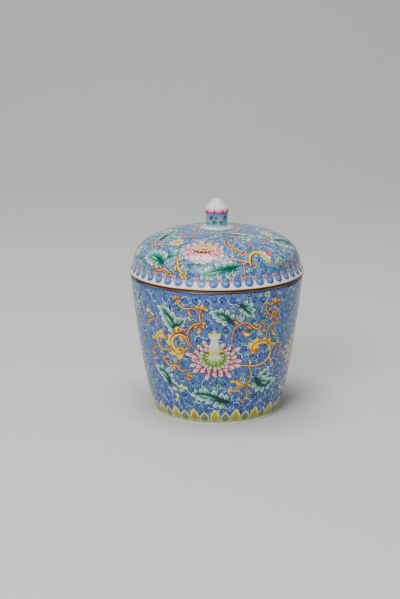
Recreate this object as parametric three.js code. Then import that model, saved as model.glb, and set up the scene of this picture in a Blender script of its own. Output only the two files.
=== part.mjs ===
// Covered jar in painted enamel on copper: a jar that tapers to its foot, a domed lid that lifts off,
// and a lotus-bud knob on a spreading foot. Millimetres, Z up, origin on the axis under the foot.
import * as THREE from 'three';

const restGap = 0.3; // clearance where one piece rests on another

// Jar
const jarHeight = 96.8;
const mouthRadius = 59.3; // outside of the mouth
const jarWall = 2.0;
const rimRounding = 0.5;
const footBandRadius = 44.1; // outside of the band that the jar stands on
const footBandHeight = 1.8;
const footBandProud = 0.7; // how far the band stands out from the wall above it
const footRingWidth = 3.0;
const footRecess = 2.6; // how far the base lies above the ground
const floorThickness = 2.2;
const floorCorner = 3.0; // radius of the round between floor and wall
const footCurveRise = 18.2; // the wall's curve: its handle above the foot
const footCurveReach = 7.1;
const mouthCurveDrop = 36; // and its handle below the mouth
const mouthCurveInset = 3.4;

// Lid
const lipOverhang = 0.7; // how far the lip reaches past the mouth
const lipEdgeHeight = 1.1;
const lipRise = 6.5; // from the seat to where the lip meets the dome
const lipFlare = 2.2; // length of the upright stretch that turns the dome's side into the lip
const lidWall = 1.8;
const domeInset = 1.9; // how far the dome's side stands inside the mouth's outside
const domeSpring = 3.9; // from the seat to the dome's widest level
const domeHeight = 25.9; // above that level, were the crown not flat
const domeExponent = 2.5; // 2 would be an ellipse
const crownMargin = 0.6; // the flat on the crown is wider than the knob's foot by this
const flangeDepth = 5.0; // how far the locating flange reaches into the mouth
const flangeWall = 1.4;
const flangeClearance = 0.5;
const flangeSolder = 0.5; // width of the seam where the flange meets the lip

// Knob
const knobFootRadius = 11.3;
const knobFootHeight = 2.4;
const knobFootEdge = 0.4;
const stemFootRadius = 7.0;
const stemTopRadius = 7.7;
const stemHeight = 8.2;
const budRadius = 8.05;
const budHeight = 9.0;
const budBellyHeight = 1.3; // where the bud is widest, above the stem
const budTipRadius = 2.7;
const budTipDimple = 0.7;
const budShoulderRise = 0.2; // the bud's outline above its belly, as shares of the way to its tip
const budShoulderReach = 0.5;
const budTipSlope = 0.62;
const petalCount = 8;
const petalTurn = THREE.MathUtils.degToRad(11.25); // one petal faces the front, a little to the right
const grooveDepth = 0.55; // between the petals
const grooveShare = 0.34; // of a petal's width, on each side of its groove

// Faceting
const turnSteps = 64;
const wallSteps = 8;
const domeSteps = 11;
const hollowSteps = 8;
const lipSteps = 4;
const roundSteps = 2;
const budSteps = 6;

const seatHeight = jarHeight + restGap;
const lipRadius = mouthRadius + lipOverhang;
const domeRadius = mouthRadius - domeInset;
const crownRadius = knobFootRadius + crownMargin;

const at = (radius, height) => new THREE.Vector2(radius, height);

// A profile of (radius, height) points turned about Z. It runs from the axis round the outside and back.
function turned(profile) {
  const geometry = new THREE.LatheGeometry(profile, turnSteps);
  geometry.rotateX(Math.PI / 2);
  return geometry;
}

// A round corner from one point to another, bulging towards the corner point.
function rounded(start, corner, end) {
  return new THREE.QuadraticBezierCurve(start, corner, end).getPoints(roundSteps);
}

// The point where a line of points passes a level, read along 'x' or 'y'.
function crossing(line, axis, level) {
  const next = line.findIndex((p, i) => i > 0 && (p[axis] - level) * (line[i - 1][axis] - level) <= 0);
  const [before, after] = [line[next - 1], line[next]];
  return before.clone().lerp(after, (level - before[axis]) / (after[axis] - before[axis]));
}

function jarWallCurve() {
  const foot = at(footBandRadius - footBandProud, footBandHeight);
  const mouth = at(mouthRadius, jarHeight - rimRounding);
  return new THREE.CubicBezierCurve(
    foot,
    at(foot.x + footCurveReach, foot.y + footCurveRise),
    at(mouth.x - mouthCurveInset, mouth.y - mouthCurveDrop),
    mouth,
  );
}

// The inside of the jar's wall, one wall's thickness in from the outside.
function jarHollowLine() {
  const wall = jarWallCurve();
  return Array.from({ length: wallSteps + 1 }, (_, i) => {
    const run = wall.getTangent(i / wallSteps);
    return wall.getPoint(i / wallSteps).add(at(-run.y, run.x).multiplyScalar(jarWall));
  });
}

function jarGeometry() {
  const floorTop = footRecess + floorThickness;
  const ringInside = footBandRadius - footRingWidth;
  const hollow = jarHollowLine();
  const mouth = hollow.at(-1);
  const cornerTop = crossing(hollow, 'y', floorTop + floorCorner);
  const hollowWall = hollow.slice(0, -1).filter((p) => p.y > cornerTop.y);
  return turned([
    at(0, footRecess),
    at(ringInside, footRecess),
    at(ringInside, 0),
    at(footBandRadius, 0),
    at(footBandRadius, footBandHeight - footBandProud / 2),
    ...jarWallCurve().getPoints(wallSteps),
    ...rounded(
      at(mouthRadius, jarHeight - rimRounding),
      at(mouthRadius, jarHeight),
      at(mouthRadius - rimRounding, jarHeight),
    ).slice(1),
    ...rounded(
      at(mouth.x + rimRounding, jarHeight),
      at(mouth.x, jarHeight),
      at(mouth.x, jarHeight - rimRounding),
    ),
    ...hollowWall.reverse(),
    ...rounded(
      cornerTop,
      at(crossing(hollow, 'y', floorTop).x, floorTop),
      at(cornerTop.x - floorCorner, floorTop),
    ),
    at(0, floorTop),
  ]);
}

// A dome's outline from its widest level up to the crown's flat: a superellipse.
function domeLine(radius, height, steps) {
  const lastAngle = Math.acos((crownRadius / radius) ** (domeExponent / 2));
  return Array.from({ length: steps + 1 }, (_, i) => {
    const angle = (lastAngle * i) / steps;
    return at(
      radius * Math.cos(angle) ** (2 / domeExponent),
      seatHeight + domeSpring + height * Math.sin(angle) ** (2 / domeExponent),
    );
  });
}

// The lip's line, from its edge up to the dome's side, moved in by an inset.
function lipLine(inset) {
  const edge = at(lipRadius - inset, seatHeight + lipEdgeHeight);
  const side = at(domeRadius - inset, seatHeight + lipRise);
  return new THREE.CubicBezierCurve(
    edge,
    at(edge.x, edge.y + lipEdgeHeight / 2),
    at(side.x, side.y - lipFlare),
    side,
  ).getPoints(lipSteps);
}

const crownHeight = domeLine(domeRadius, domeHeight, domeSteps).at(-1).y;

function lidGeometry() {
  const sideTop = seatHeight + lipRise;
  const hollowRadius = domeRadius - lidWall;
  const hollowCrown = crownHeight - lidWall;
  const flangeFoot = jarHeight - flangeDepth;
  const flangeOutside = crossing(jarHollowLine(), 'y', flangeFoot).x - flangeClearance;
  const flangeInside = flangeOutside - flangeWall;

  const outerDome = domeLine(domeRadius, domeHeight, domeSteps).filter((p) => p.y > sideTop + lidWall / 2);
  const hollowDome = domeLine(hollowRadius, domeHeight - lidWall, hollowSteps)
    .filter((p) => p.y > sideTop + lidWall / 2 && p.y < hollowCrown);

  // The pocket between the lip and the flange ends where the two are soldered together.
  const lipInside = [at(lipRadius - lidWall, seatHeight), ...lipLine(lidWall)];
  const seam = Math.max(flangeOutside + flangeSolder, hollowRadius);
  const pocketTop = Math.min(crossing(lipInside, 'x', seam).y, sideTop - flangeWall);
  return turned([
    at(0, hollowCrown),
    ...hollowDome.reverse(),
    at(hollowRadius, sideTop),
    at(flangeInside, sideTop),
    at(flangeInside, flangeFoot),
    at(flangeOutside, flangeFoot),
    at(flangeOutside, pocketTop),
    crossing(lipInside, 'y', pocketTop),
    ...lipInside.filter((p) => p.y < pocketTop).reverse(),
    at(lipRadius, seatHeight),
    ...lipLine(0),
    ...outerDome,
    at(0, crownHeight),
  ]);
}

// How deep the groove between two petals is at an angle: 1 at its bottom, 0 on the petal.
function grooveAt(angle) {
  const petal = (2 * Math.PI) / petalCount;
  const turn = THREE.MathUtils.euclideanModulo(angle - petalTurn + petal / 2, petal);
  const fromGroove = Math.min(turn, petal - turn) / (petal * grooveShare);
  return fromGroove < 1 ? (1 - fromGroove) ** 2 : 0;
}

function knobGeometry() {
  const budFoot = knobFootHeight + stemHeight;
  const belly = at(budRadius, budFoot + budBellyHeight);
  const tip = at(budTipRadius, budFoot + budHeight);
  const spread = new THREE.CubicBezierCurve(
    at(knobFootRadius, knobFootEdge),
    at(stemFootRadius + knobFootHeight / 4, knobFootEdge),
    at(stemFootRadius, knobFootHeight / 2),
    at(stemFootRadius, knobFootHeight),
  );
  const underside = new THREE.QuadraticBezierCurve(
    at(stemTopRadius, budFoot),
    at(budRadius, budFoot),
    belly,
  );
  const shoulder = new THREE.CubicBezierCurve(
    belly,
    at(belly.x, THREE.MathUtils.lerp(belly.y, tip.y, budShoulderRise)),
    at(THREE.MathUtils.lerp(belly.x, tip.x, budShoulderReach), THREE.MathUtils.lerp(belly.y, tip.y, budTipSlope)),
    tip,
  );
  const geometry = turned([
    at(0, 0),
    at(knobFootRadius, 0),
    ...spread.getPoints(lipSteps),
    ...underside.getPoints(roundSteps),
    ...shoulder.getPoints(budSteps).slice(1),
    at(0, tip.y - budTipDimple),
  ]);
  // The grooves between the petals deepen from the bud's base to its belly and run on to the tip.
  const points = geometry.getAttribute('position');
  for (let i = 0; i < points.count; i++) {
    const radius = Math.hypot(points.getX(i), points.getY(i));
    const depth = grooveDepth * THREE.MathUtils.clamp((points.getZ(i) - budFoot) / budBellyHeight, 0, 1);
    const angle = Math.atan2(points.getX(i), -points.getY(i));
    const kept = 1 - (depth * grooveAt(angle)) / Math.max(radius, budTipRadius);
    points.setXY(i, points.getX(i) * kept, points.getY(i) * kept);
  }
  return geometry;
}

function piece(name, geometry, finish) {
  const mesh = new THREE.Mesh(geometry, new THREE.MeshStandardMaterial(finish));
  mesh.name = name;
  return mesh;
}

const coveredJar = new THREE.Group();
coveredJar.add(piece('jar', jarGeometry(), { color: 0x4a63b5, roughness: 0.2, metalness: 0 }));
coveredJar.add(piece('lid', lidGeometry(), { color: 0x7f93c8, roughness: 0.2, metalness: 0 }));
const knob = piece('lotus_bud_knob', knobGeometry(), { color: 0xe8e4da, roughness: 0.25, metalness: 0 });
knob.position.z = crownHeight + restGap;
coveredJar.add(knob);

export default coveredJar;
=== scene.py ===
# A covered jar in painted enamel on copper. The painting is laid out as flat shapes on a canvas, the canvas
# is cut into triangles along every painted edge, and the triangles are bent round the turned walls.
import math
from functools import partial
import bpy
import numpy as np
from mathutils.geometry import delaunay_2d_cdt
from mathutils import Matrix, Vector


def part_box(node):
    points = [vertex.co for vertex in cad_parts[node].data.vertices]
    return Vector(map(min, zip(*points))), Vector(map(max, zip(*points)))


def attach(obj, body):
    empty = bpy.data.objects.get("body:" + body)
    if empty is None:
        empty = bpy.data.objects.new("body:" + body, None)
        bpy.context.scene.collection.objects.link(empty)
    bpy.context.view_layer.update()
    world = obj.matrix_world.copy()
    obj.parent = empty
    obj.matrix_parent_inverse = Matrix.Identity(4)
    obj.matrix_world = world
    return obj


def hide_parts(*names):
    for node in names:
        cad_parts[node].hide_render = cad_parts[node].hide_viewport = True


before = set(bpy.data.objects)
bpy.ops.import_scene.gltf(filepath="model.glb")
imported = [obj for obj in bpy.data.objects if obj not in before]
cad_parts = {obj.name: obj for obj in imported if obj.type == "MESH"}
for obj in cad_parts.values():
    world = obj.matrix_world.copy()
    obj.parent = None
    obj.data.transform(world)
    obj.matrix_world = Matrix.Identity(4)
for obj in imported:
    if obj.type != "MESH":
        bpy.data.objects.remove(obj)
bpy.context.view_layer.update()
mm = 0.001


def nodeBox(node):
    # A CAD node's lowest and highest corner, in millimetres.
    low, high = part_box(node)
    return np.array(low) / mm, np.array(high) / mm


# Colours

def linear(red, green, blue):
    # A colour given as 0 to 255 screen values, as linear light.
    screen = np.array([red, green, blue]) / 255
    return np.where(screen <= 0.04045, screen / 12.92, ((screen + 0.055) / 1.055) ** 2.4)


paint = dict(
    ground=linear(66, 76, 162), groundSheen=linear(92, 112, 188), lidGroundLit=linear(124, 146, 204),
    steel=linear(78, 118, 184), sky=linear(72, 104, 188),
    ink=linear(10, 18, 56), inkGreen=linear(2, 34, 44),
    sage=linear(60, 136, 112), mint=linear(150, 212, 186), frost=linear(226, 242, 234),
    lime=linear(200, 222, 118),
    pine=linear(0, 50, 48), leaf=linear(8, 100, 84), sea=linear(78, 172, 150),
    rust=linear(104, 24, 8), amber=linear(206, 78, 8), gold=linear(246, 164, 30),
    butter=linear(255, 232, 110),
    plum=linear(96, 20, 56), rose=linear(196, 44, 84), blush=linear(238, 136, 160),
    petal=linear(255, 232, 232),
    olive=linear(96, 104, 34), moss=linear(96, 146, 60), cream=linear(244, 244, 204),
    straw=linear(232, 200, 40),
    white=linear(242, 238, 230), lilac=linear(214, 200, 220), shade=linear(126, 120, 108),
    heads=linear(88, 122, 190),
    cherry=linear(200, 36, 56), orchid=linear(226, 120, 156), tile=linear(166, 216, 218),
    reed=linear(140, 158, 112), footBand=linear(206, 214, 160), lining=linear(190, 222, 220),
    metal=linear(92, 62, 38),
    budWhite=linear(240, 242, 232), stem=linear(150, 178, 208), edgeGold=linear(226, 176, 120),
    stemTop=linear(116, 150, 204),
)

# The colours of a petal, leaf or scroll: its dark line, its root and its tip.
lotusTones = ("plum", "rose", "petal")
goldTones = ("rust", "gold", "butter")
amberTones = ("rust", "amber", "gold")
freshTones = ("moss", "lime", "cream")


# Lines and outlines on a canvas

def throughPoints(points, count, closed=False):
    # A smooth line through a few points: each stretch is a cubic with the slopes of its neighbours' chords.
    points = np.asarray(points, float)
    if closed:
        padded = np.vstack([points[-1:], points, points[:2]])
        spans = len(points)
    else:
        padded = np.vstack([2 * points[0] - points[1], points, 2 * points[-1] - points[-2]])
        spans = len(points) - 1
    place = np.linspace(0, spans, count, endpoint=not closed)
    span = np.minimum(place.astype(int), spans - 1)
    t = (place - span)[:, None]
    a, b, c, d = (padded[span + k] for k in range(4))
    square, cube = 2 * a - 5 * b + 4 * c - d, 3 * b - a - 3 * c + d
    return 0.5 * (2 * b + (c - a) * t + square * t ** 2 + cube * t ** 3)


def sweep(start, heading, length, bend, lastBend, count):
    # A line whose heading turns faster and faster: bend is in degrees per millimetre, at its start and its
    # end.
    along = np.linspace(0, length, count)
    turned = math.radians(heading) + np.radians(bend * along + (lastBend - bend) * along ** 2 / (2 * length))
    step = np.diff(along)[:, None] * 0.5
    course = np.column_stack([np.cos(turned), np.sin(turned)])
    moved = np.cumsum((course[1:] + course[:-1]) * step, axis=0)
    return np.asarray(start, float) + np.vstack([[0, 0], moved])


def unit(vectors):
    # Vectors divided by their lengths.
    return vectors / np.maximum(np.linalg.norm(vectors, axis=-1, keepdims=True), 1e-9)


def band(line, widths):
    # The outline of a brush stroke along a line: its points moved to both sides by half the width there.
    run = unit(np.gradient(line, axis=0))
    side = np.column_stack([-run[:, 1], run[:, 0]]) * np.broadcast_to(widths, len(line))[:, None] / 2
    return np.vstack([line - side, (line + side)[::-1]])


def blade(line, width, widest=0.5):
    # A pointed stroke, fullest at the share 'widest' of its length: a half sine of a power of the share.
    share = np.linspace(0, 1, len(line))
    return band(line, width * np.sin(math.pi * share ** (math.log(0.5) / math.log(widest))) ** 0.8)


def lobe(length, width, lean=0.0, widest=0.62, count=7):
    # A petal from the origin up to its tip, leaning to one side.
    share = np.linspace(0, 1, count)
    return blade(np.column_stack([lean * share ** 2, length * share]), width, widest)


def signedArea(points):
    # Half the sum of the corners' cross products, above 0 for an anticlockwise outline.
    x, y = points.T
    return 0.5 * np.sum(x * np.roll(y, -1) - y * np.roll(x, -1))


def grown(points, distance):
    # An anticlockwise outline moved outwards, each corner along the middle of its two edges' outward sides.
    ahead = unit(np.roll(points, -1, 0) - points)
    behind = np.roll(ahead, 1, 0)
    outward = np.column_stack([ahead[:, 1] + behind[:, 1], -ahead[:, 0] - behind[:, 0]])
    agreement = 1 + np.sum(ahead * behind, axis=1)
    return points + distance * outward / np.maximum(agreement, 0.6)[:, None]


def covers(polygon, points):
    # Which points a polygon holds: those with an odd number of its edges to their right.
    low, high = polygon.min(0), polygon.max(0)
    held = np.all((points > low) & (points < high), axis=1)
    spots = points[held]
    x0, y0 = polygon.T
    x1, y1 = np.roll(polygon, -1, 0).T
    rises = (y0 > spots[:, 1:]) != (y1 > spots[:, 1:])
    slope = np.where(y1 == y0, 1e-9, y1 - y0)
    crossings = x0 + (spots[:, 1:] - y0) * (x1 - x0) / slope
    held[held] = np.sum(rises & (spots[:, :1] < crossings), axis=1) % 2 == 1
    return held


def thinned(points, slack=0.035):
    # An outline without the points that lie almost on the line between their neighbours. No two in a row go
    # at once.
    for turn in range(4):
        before, after = np.roll(points, 1, 0), np.roll(points, -1, 0)
        chord, step = after - before, points - before
        off = np.abs(chord[:, 0] * step[:, 1] - chord[:, 1] * step[:, 0])
        flat = off < slack * np.linalg.norm(chord, axis=1)
        flat &= np.arange(len(points)) % 2 == turn % 2
        points = points[~flat]
    return points


class Brush:
    # Lays shapes on a canvas, later ones over earlier ones. A brush may be set down turned, sized or flipped.
    def __init__(self, shapes, matrix=None, offset=None):
        self.shapes = shapes
        self.matrix = np.eye(2) if matrix is None else matrix
        self.offset = np.zeros(2) if offset is None else offset

    def at(self, spot, turn=0.0, size=1.0, flip=False):
        c, s = math.cos(math.radians(turn)), math.sin(math.radians(turn))
        matrix = size * np.array([[c, -s], [s, c]]) @ np.diag([-1.0 if flip else 1.0, 1.0])
        return Brush(self.shapes, self.matrix @ matrix, self.offset + self.matrix @ np.asarray(spot, float))

    def fill(self, points, colour, fade=None, start=None, end=None, grow=0.0):
        # A shape in one colour, or fading to a second one from the start point to the end point.
        points = np.asarray(points, float) @ self.matrix.T + self.offset
        points = points[np.linalg.norm(points - np.roll(points, 1, 0), axis=1) > 0.02]
        if signedArea(points) < 0:
            points = points[::-1]
        if grow:
            points = grown(points, grow)
        points = thinned(points)
        first = self.offset if start is None else self.matrix @ np.asarray(start, float) + self.offset
        last = first + [0, 1] if end is None else self.matrix @ np.asarray(end, float) + self.offset
        self.shapes.append((points, paint[colour], paint[fade or colour], first, last))

    def outlined(self, outlines, line, width):
        # The dark line round a group of shapes: all of them a little larger, laid before they are filled.
        for points in outlines:
            self.fill(points, line, grow=width)


# Motifs

def paintLobes(brush, lobes, line, root, tip, width=0.3, vein=None, rise=0.3):
    # A group of petals or leaf lobes, each given as (spot, turn, length, width, lean), with one outline round
    # each.
    for spot, turn, length, breadth, lean in lobes:
        placed = brush.at(spot, turn)
        shape = lobe(length, breadth, lean)
        placed.outlined([shape], line, width)
        placed.fill(shape, root, tip, (0, length * rise), (lean * 0.6, length * 0.9))
        if vein:
            placed.fill(lobe(length * 0.62, breadth * 0.2, lean * 0.4, count=4), vein)


def petalRing(count, first, last, centre, reach, root, width, uneven=0.0):
    # Petals round an oval: the tips lie on the oval 'reach', the roots on the same oval made smaller by
    # 'root'.
    ring = []
    for k, angle in enumerate(np.radians(np.linspace(first, last, count))):
        stretch = 1 + uneven * math.sin(2.4 * k + 0.7)
        tip = np.array([reach[0] * math.cos(angle), reach[1] * math.sin(angle)]) * stretch
        start = np.asarray(centre) + tip * root / stretch
        step = tip - tip * root / stretch
        lean = 0.5 * math.sin(1.9 * k)
        turn = math.degrees(math.atan2(step[1], step[0])) - 90
        ring.append((start, turn, np.linalg.norm(step), width, lean))
    return ring


def paintLotus(brush):
    # The big lotus seen from the side, with its seed pod standing up: 35 mm wide, its middle at the origin.
    line, root, tip = lotusTones
    turn = np.arange(28) * math.pi / 14
    brush.fill(np.column_stack([12.2 * np.cos(turn), 9.4 * np.sin(turn) - 1.0]), line, root, (0, 8), (0, -12))
    outer = petalRing(19, 112, 428, (0, -1.0), (17.6, 13.6), 0.5, 3.1, 0.16)
    middle = petalRing(17, 112, 428, (0, -0.6), (14.2, 11.2), 0.45, 3.1, 0.12)
    inner = petalRing(13, 124, 416, (0, 0), (11.0, 8.8), 0.4, 2.8, 0.1)
    for ring, rise in ((outer, 0.36), (middle, 0.44), (inner, 0.48)):
        paintLobes(brush, ring, line, root, tip, 0.46, vein="petal", rise=rise)
    brush.fill(np.column_stack([6.6 * np.cos(turn), 1.2 + 5.2 * np.sin(turn)]), "inkGreen", "moss",
               (0, 5), (0, -4))
    paintLobes(brush, petalRing(13, 158, 382, (0, 1.0), (10.6, 9.2), 0.3, 2.2), "inkGreen", "moss", "cream",
               0.32, rise=0.5)
    paintLobes(brush, petalRing(9, 164, 376, (0, 1.6), (6.6, 6.0), 0.2, 2.0), "inkGreen", "moss", "lime", 0.3,
               rise=0.3)
    outline = [(-2.0, 14), (-2.2, 11), (-3.8, 7.0), (-3.2, 3.8), (0, 2.4), (3.2, 3.8), (3.8, 7.0), (2.2, 11),
               (2.0, 14)]
    pod = throughPoints(outline, 26, True)
    brush.outlined([pod], "olive", 0.3)
    brush.fill(pod, "straw", "frost", (0, 3.4), (0, 10.5))
    brush.fill(blade(throughPoints([(-2.0, 12.4), (-3.0, 7.6), (-2.4, 4.0)], 9), 1.1, 0.6), "frost", "gold",
               (0, 9), (0, 4.4))
    brush.fill(blade(throughPoints([(2.3, 12.0), (3.0, 7.6), (2.4, 4.2)], 9), 0.6, 0.6), "cream", "olive",
               (0, 11), (0, 5))
    for x in (-0.9, 0.7):
        brush.fill(band(throughPoints([(x * 0.9, 4.2), (x * 1.2, 7), (x * 0.8, 12.4)], 6), 0.18),
                   "straw", "reed", (0, 4), (0, 9))
    outline = [(-2.1, 13.6), (-3.7, 15.8), (-3.5, 18.0), (-1.6, 17.6), (0, 20.4), (1.6, 17.6), (3.6, 18.2),
               (3.7, 15.6), (2.1, 13.6), (0, 13.0)]
    crown = throughPoints(outline, 30, True)
    brush.outlined([crown], "olive", 0.3)
    brush.fill(crown, "cream", "lime", (0, 14.6), (0, 16.4))
    brush.fill(lobe(5.6, 2.0, count=6) + [0, 12.6], "petal", "straw", (0, 15.5), (0, 18))
    brush.fill(np.column_stack([4.3 * np.cos(turn), 0.8 + 3.4 * np.sin(turn)]), "moss", "lime",
               (0, -3), (0, 4))
    for x, height in ((-3.3, 5.4), (3.3, 5.4), (-1.9, 6.4), (1.9, 6.4), (0, 7.0)):
        paintLobes(brush, [((x * 0.4, -2.4), -x * 9, height, 1.9, 0)], "moss", "lime", "white", 0.26,
                   rise=0.1)


def paintOpenLotus(brush):
    # A lotus looked into from above: rings of petals, the front ones broad and white, round a tuft of yellow
    # stamens. 29 mm wide.
    line, root, tip = lotusTones
    paintLobes(brush, petalRing(15, -90, 246, (0, 0), (14.8, 11.6), 0.5, 4.6, 0.07), line, root, tip, 0.36,
               vein="blush", rise=0.46)
    paintLobes(brush, petalRing(12, -76, 254, (0, 0.6), (12.2, 9.2), 0.45, 4.2, 0.07), line, root, tip, 0.36,
               vein="blush", rise=0.44)
    for x in (-5.4, 5.2, -1.9, 2.2):
        front = [((x * 0.6, -3.0), 180 + x * 5.4, 7.2, 5.6, 0.0)]
        paintLobes(brush, front, line, "blush", "white", 0.34, vein="petal")
    paintLobes(brush, petalRing(13, -90, 242, (0, 1.2), (9.4, 6.8), 0.5, 2.5), line, "cherry", "petal", 0.3)
    turn = np.arange(20) * math.pi / 10
    brush.fill(np.column_stack([7.2 * np.cos(turn), 1.9 + 5.0 * np.sin(turn)]), "rust", "amber",
               (0, -2), (0, 6))
    for reach, count in ((6.6, 15), (4.6, 11), (2.5, 7), (0.5, 4)):
        for angle in np.linspace(0, 360, count, endpoint=False) + reach * 20:
            c, s = math.cos(math.radians(angle)), math.sin(math.radians(angle))
            placed = brush.at((reach * c * 0.86, 1.6 + 0.6 * reach * s), 40 * -c)
            stamen = lobe(2.6, 1.5, count=6)
            placed.outlined([stamen], "rust", 0.16)
            placed.fill(stamen, "gold", "cream", (0, 0.2), (0, 1.9))


def paintFlower(brush, size, count, tones, heart):
    # A small round flower with a button in its middle.
    placed = brush.at((0, 0), 0, size)
    ring = petalRing(count, 0, 360 - 360 / count, (0, 0), (1, 0.85), 0.25, 0.56)
    paintLobes(placed, ring, *tones, 0.24 / size)
    button = 0.3 * np.column_stack([np.cos(np.arange(8) * math.pi / 4), np.sin(np.arange(8) * math.pi / 4)])
    placed.outlined([button], tones[0], 0.2 / size)
    placed.fill(button, heart)


def paintLeaf(brush, points, width, lobes=4, lean=42.0, paleness=1.0):
    # A leaf along a spine: broad lobes in pairs that point forwards, green with a pale fringe, round a dark
    # midrib. The paleness is that of its fringe, and over 1 also that of its body.
    spine = throughPoints(points, 20)
    run = unit(np.gradient(spine, axis=0))
    headings = np.degrees(np.arctan2(run[:, 1], run[:, 0]))
    strokes = []
    for share in np.linspace(0.08, 0.8, lobes + 1):
        k = int(round(share * (len(spine) - 1)))
        reach = width * (0.72 + 0.5 * math.sin(math.pi * min(1.0, share + 0.15)))
        for side in (-1, 1):
            length = reach * (1.22 if side > 0 else 1.04)
            turn = side * lean * (1.15 - 0.7 * share)
            strokes.append((sweep(spine[k], headings[k] + turn, length, -side * 7, side * 17, 8), length))
    strokes.append((sweep(spine[-7], headings[-7], width * 1.6, 2, 8, 8), width * 1.2))
    for line, length in strokes:
        brush.outlined([blade(line, length * 0.5, 0.56)], "inkGreen", 0.36)
    for line, length in strokes:
        brush.fill(blade(line, length * 0.5, 0.56), "sea", "frost", line[2], line[-2])
    for line, length in strokes:
        brush.fill(blade(line[:7], length * (0.42 - 0.12 * paleness), 0.42), "leaf", "mint", line[2], line[6])
    body = ("pine", "leaf") if paleness <= 1 else ("leaf", "sea")
    brush.fill(blade(spine, width * 0.7, 0.42), *body, spine[4], spine[-1])
    gleam = spine[7:16] + np.array([-run[11, 1], run[11, 0]]) * width * 0.16
    brush.fill(blade(gleam, width * 0.2, 0.5), "sea", "mint", spine[7], spine[12])
    brush.fill(blade(spine[:-3], width * 0.14, 0.4), "inkGreen", "pine", spine[4], spine[-3])
    brush.fill(band(np.vstack([spine[0] * 2 - spine[3], spine[:6]]), 0.55), "inkGreen")


def paintHook(brush, heading, length, width, bend, tones=("rust", "amber", "butter")):
    # A curled leaf tip: a pointed stroke that bends more and more, in a line of the dark tone.
    line, root, tip = tones
    stroke = sweep((0, 0), heading, length, bend * 0.2, bend * 2.0, 8)
    shape = blade(stroke, width, 0.46)
    brush.outlined([shape], line, 0.36)
    brush.fill(shape, root, tip, stroke[1], stroke[-3])
    brush.fill(blade(stroke[2:-1] - [0, width * 0.1], width * 0.34, 0.5), "butter")


def paintRuffle(brush, line, reach, teeth, tones):
    # A leaf along one side of a curve, highest at its middle, with pointed teeth that lean forwards: the
    # height is a half sine, cut down to its half at the start of each tooth.
    share = np.linspace(0, 1, 4 * teeth + 1)
    line = throughPoints(line, len(share))
    run = unit(np.gradient(line, axis=0))
    height = reach * np.sin(math.pi * share) ** 0.5 * (0.5 + 0.5 * ((share * teeth) % 1.0) / 0.75)
    edge = line + np.column_stack([-run[:, 1], run[:, 0]]) * height[:, None]
    outline = np.vstack([line, edge[-2:0:-1]])
    middle = len(line) // 2
    brush.fill(outline, tones[0], grow=0.36)
    brush.fill(outline, tones[1], tones[2], line[middle], line[middle] + (edge[middle] - line[middle]) * 0.7)
    for k in range(3, len(line) - 3, 4):
        fold = np.linspace(line[k], edge[k + 1] * 0.9 + line[k] * 0.1, 5)
        brush.fill(blade(fold, reach * 0.26, 0.3), tones[0], tones[1], line[k], edge[k])


def curledOn(line, volute, turn, tighter, count):
    # A line that goes on into a volute: it turns on by so many degrees, ever tighter.
    run = line[-1] - line[-2]
    heading = math.degrees(math.atan2(run[1], run[0]))
    curl = sweep(line[-1], heading, turn / abs(volute), volute * 0.5, volute * tighter, count)
    return np.vstack([line[:-1], curl])


def paintTrumpet(brush, heading, size, tones):
    # The flared end of a scroll: a bud between two leaf tips that curl apart.
    placed = brush.at((0, 0), heading - 90, size)
    for side in (-1, 1):
        paintHook(placed.at((side * 0.3, -0.2), 0), 90 - side * 34, 5.2, 1.7, side * -34, tones)
    bud = lobe(4.4, 2.0, widest=0.5, count=7) - [0, 0.8]
    placed.outlined([bud], tones[0], 0.34)
    placed.fill(bud, tones[1], "butter", (0, 0), (0, 2.6))


def paintScroll(brush, points, widths, volute=0.0, hooks=(), end=None, tones=amberTones, ruffles=()):
    # A scrolling stem through a few points. It may go on into a volute with a dark core, with leaf hooks and
    # ruffled leaves along it and a trumpet at its end. A hook is (share of the length, side, length, width,
    # bend), and a ruffle is (first share, last share, side, height, teeth).
    line = throughPoints(points, 6 * len(points))
    if volute:
        line = curledOn(line, volute, 520, 1.6, 18)
    share = np.linspace(0, 1, len(line))
    breadth = 0.86 * np.interp(share, (0, 0.5, 0.94, 1),
                               (widths[0] * 0.7, *widths, widths[1] * (0.8 if volute else 0.6)))
    run = unit(np.gradient(line, axis=0))
    side = np.column_stack([-run[:, 1], run[:, 0]])
    for where, way, length, width, bend in hooks:
        k = int(where * (len(line) - 1))
        heading = math.degrees(math.atan2(run[k, 1], run[k, 0])) + way * 60
        paintHook(brush.at(line[k]), heading, length * 1.16, width * 0.8, way * bend, tones)
    for first, last, way, height, teeth in ruffles:
        part = line[int(first * (len(line) - 1)):int(last * (len(line) - 1)) + 1]
        paintRuffle(brush, part if way > 0 else part[::-1], height, teeth, tones)
    stem = band(line, breadth)
    brush.outlined([stem], tones[0], 0.36)
    brush.fill(stem, tones[1], tones[2], line[0], line[len(line) // 2])
    brush.fill(band(line - side * breadth[:, None] * 0.3, breadth * 0.4), tones[0], tones[1], line[0],
               line[-1])
    brush.fill(band(line + side * breadth[:, None] * 0.24, breadth * 0.4), "butter")
    if volute:
        core = line[-13:]
        brush.fill(band(core, np.linspace(0.3, 1.7, 13)), tones[1], tones[0], core[2], core[-1])
        turn = np.arange(9) * 2 * math.pi / 9
        button = line[-1] + 1.25 * np.column_stack([np.cos(turn), np.sin(turn)])
        brush.fill(button, tones[0], tones[1], line[-1] - [0, 1], line[-1] + [0, 1])
    if end is not None:
        paintTrumpet(brush.at(line[-1]), math.degrees(math.atan2(run[-1, 1], run[-1, 0])), end, tones)


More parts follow.
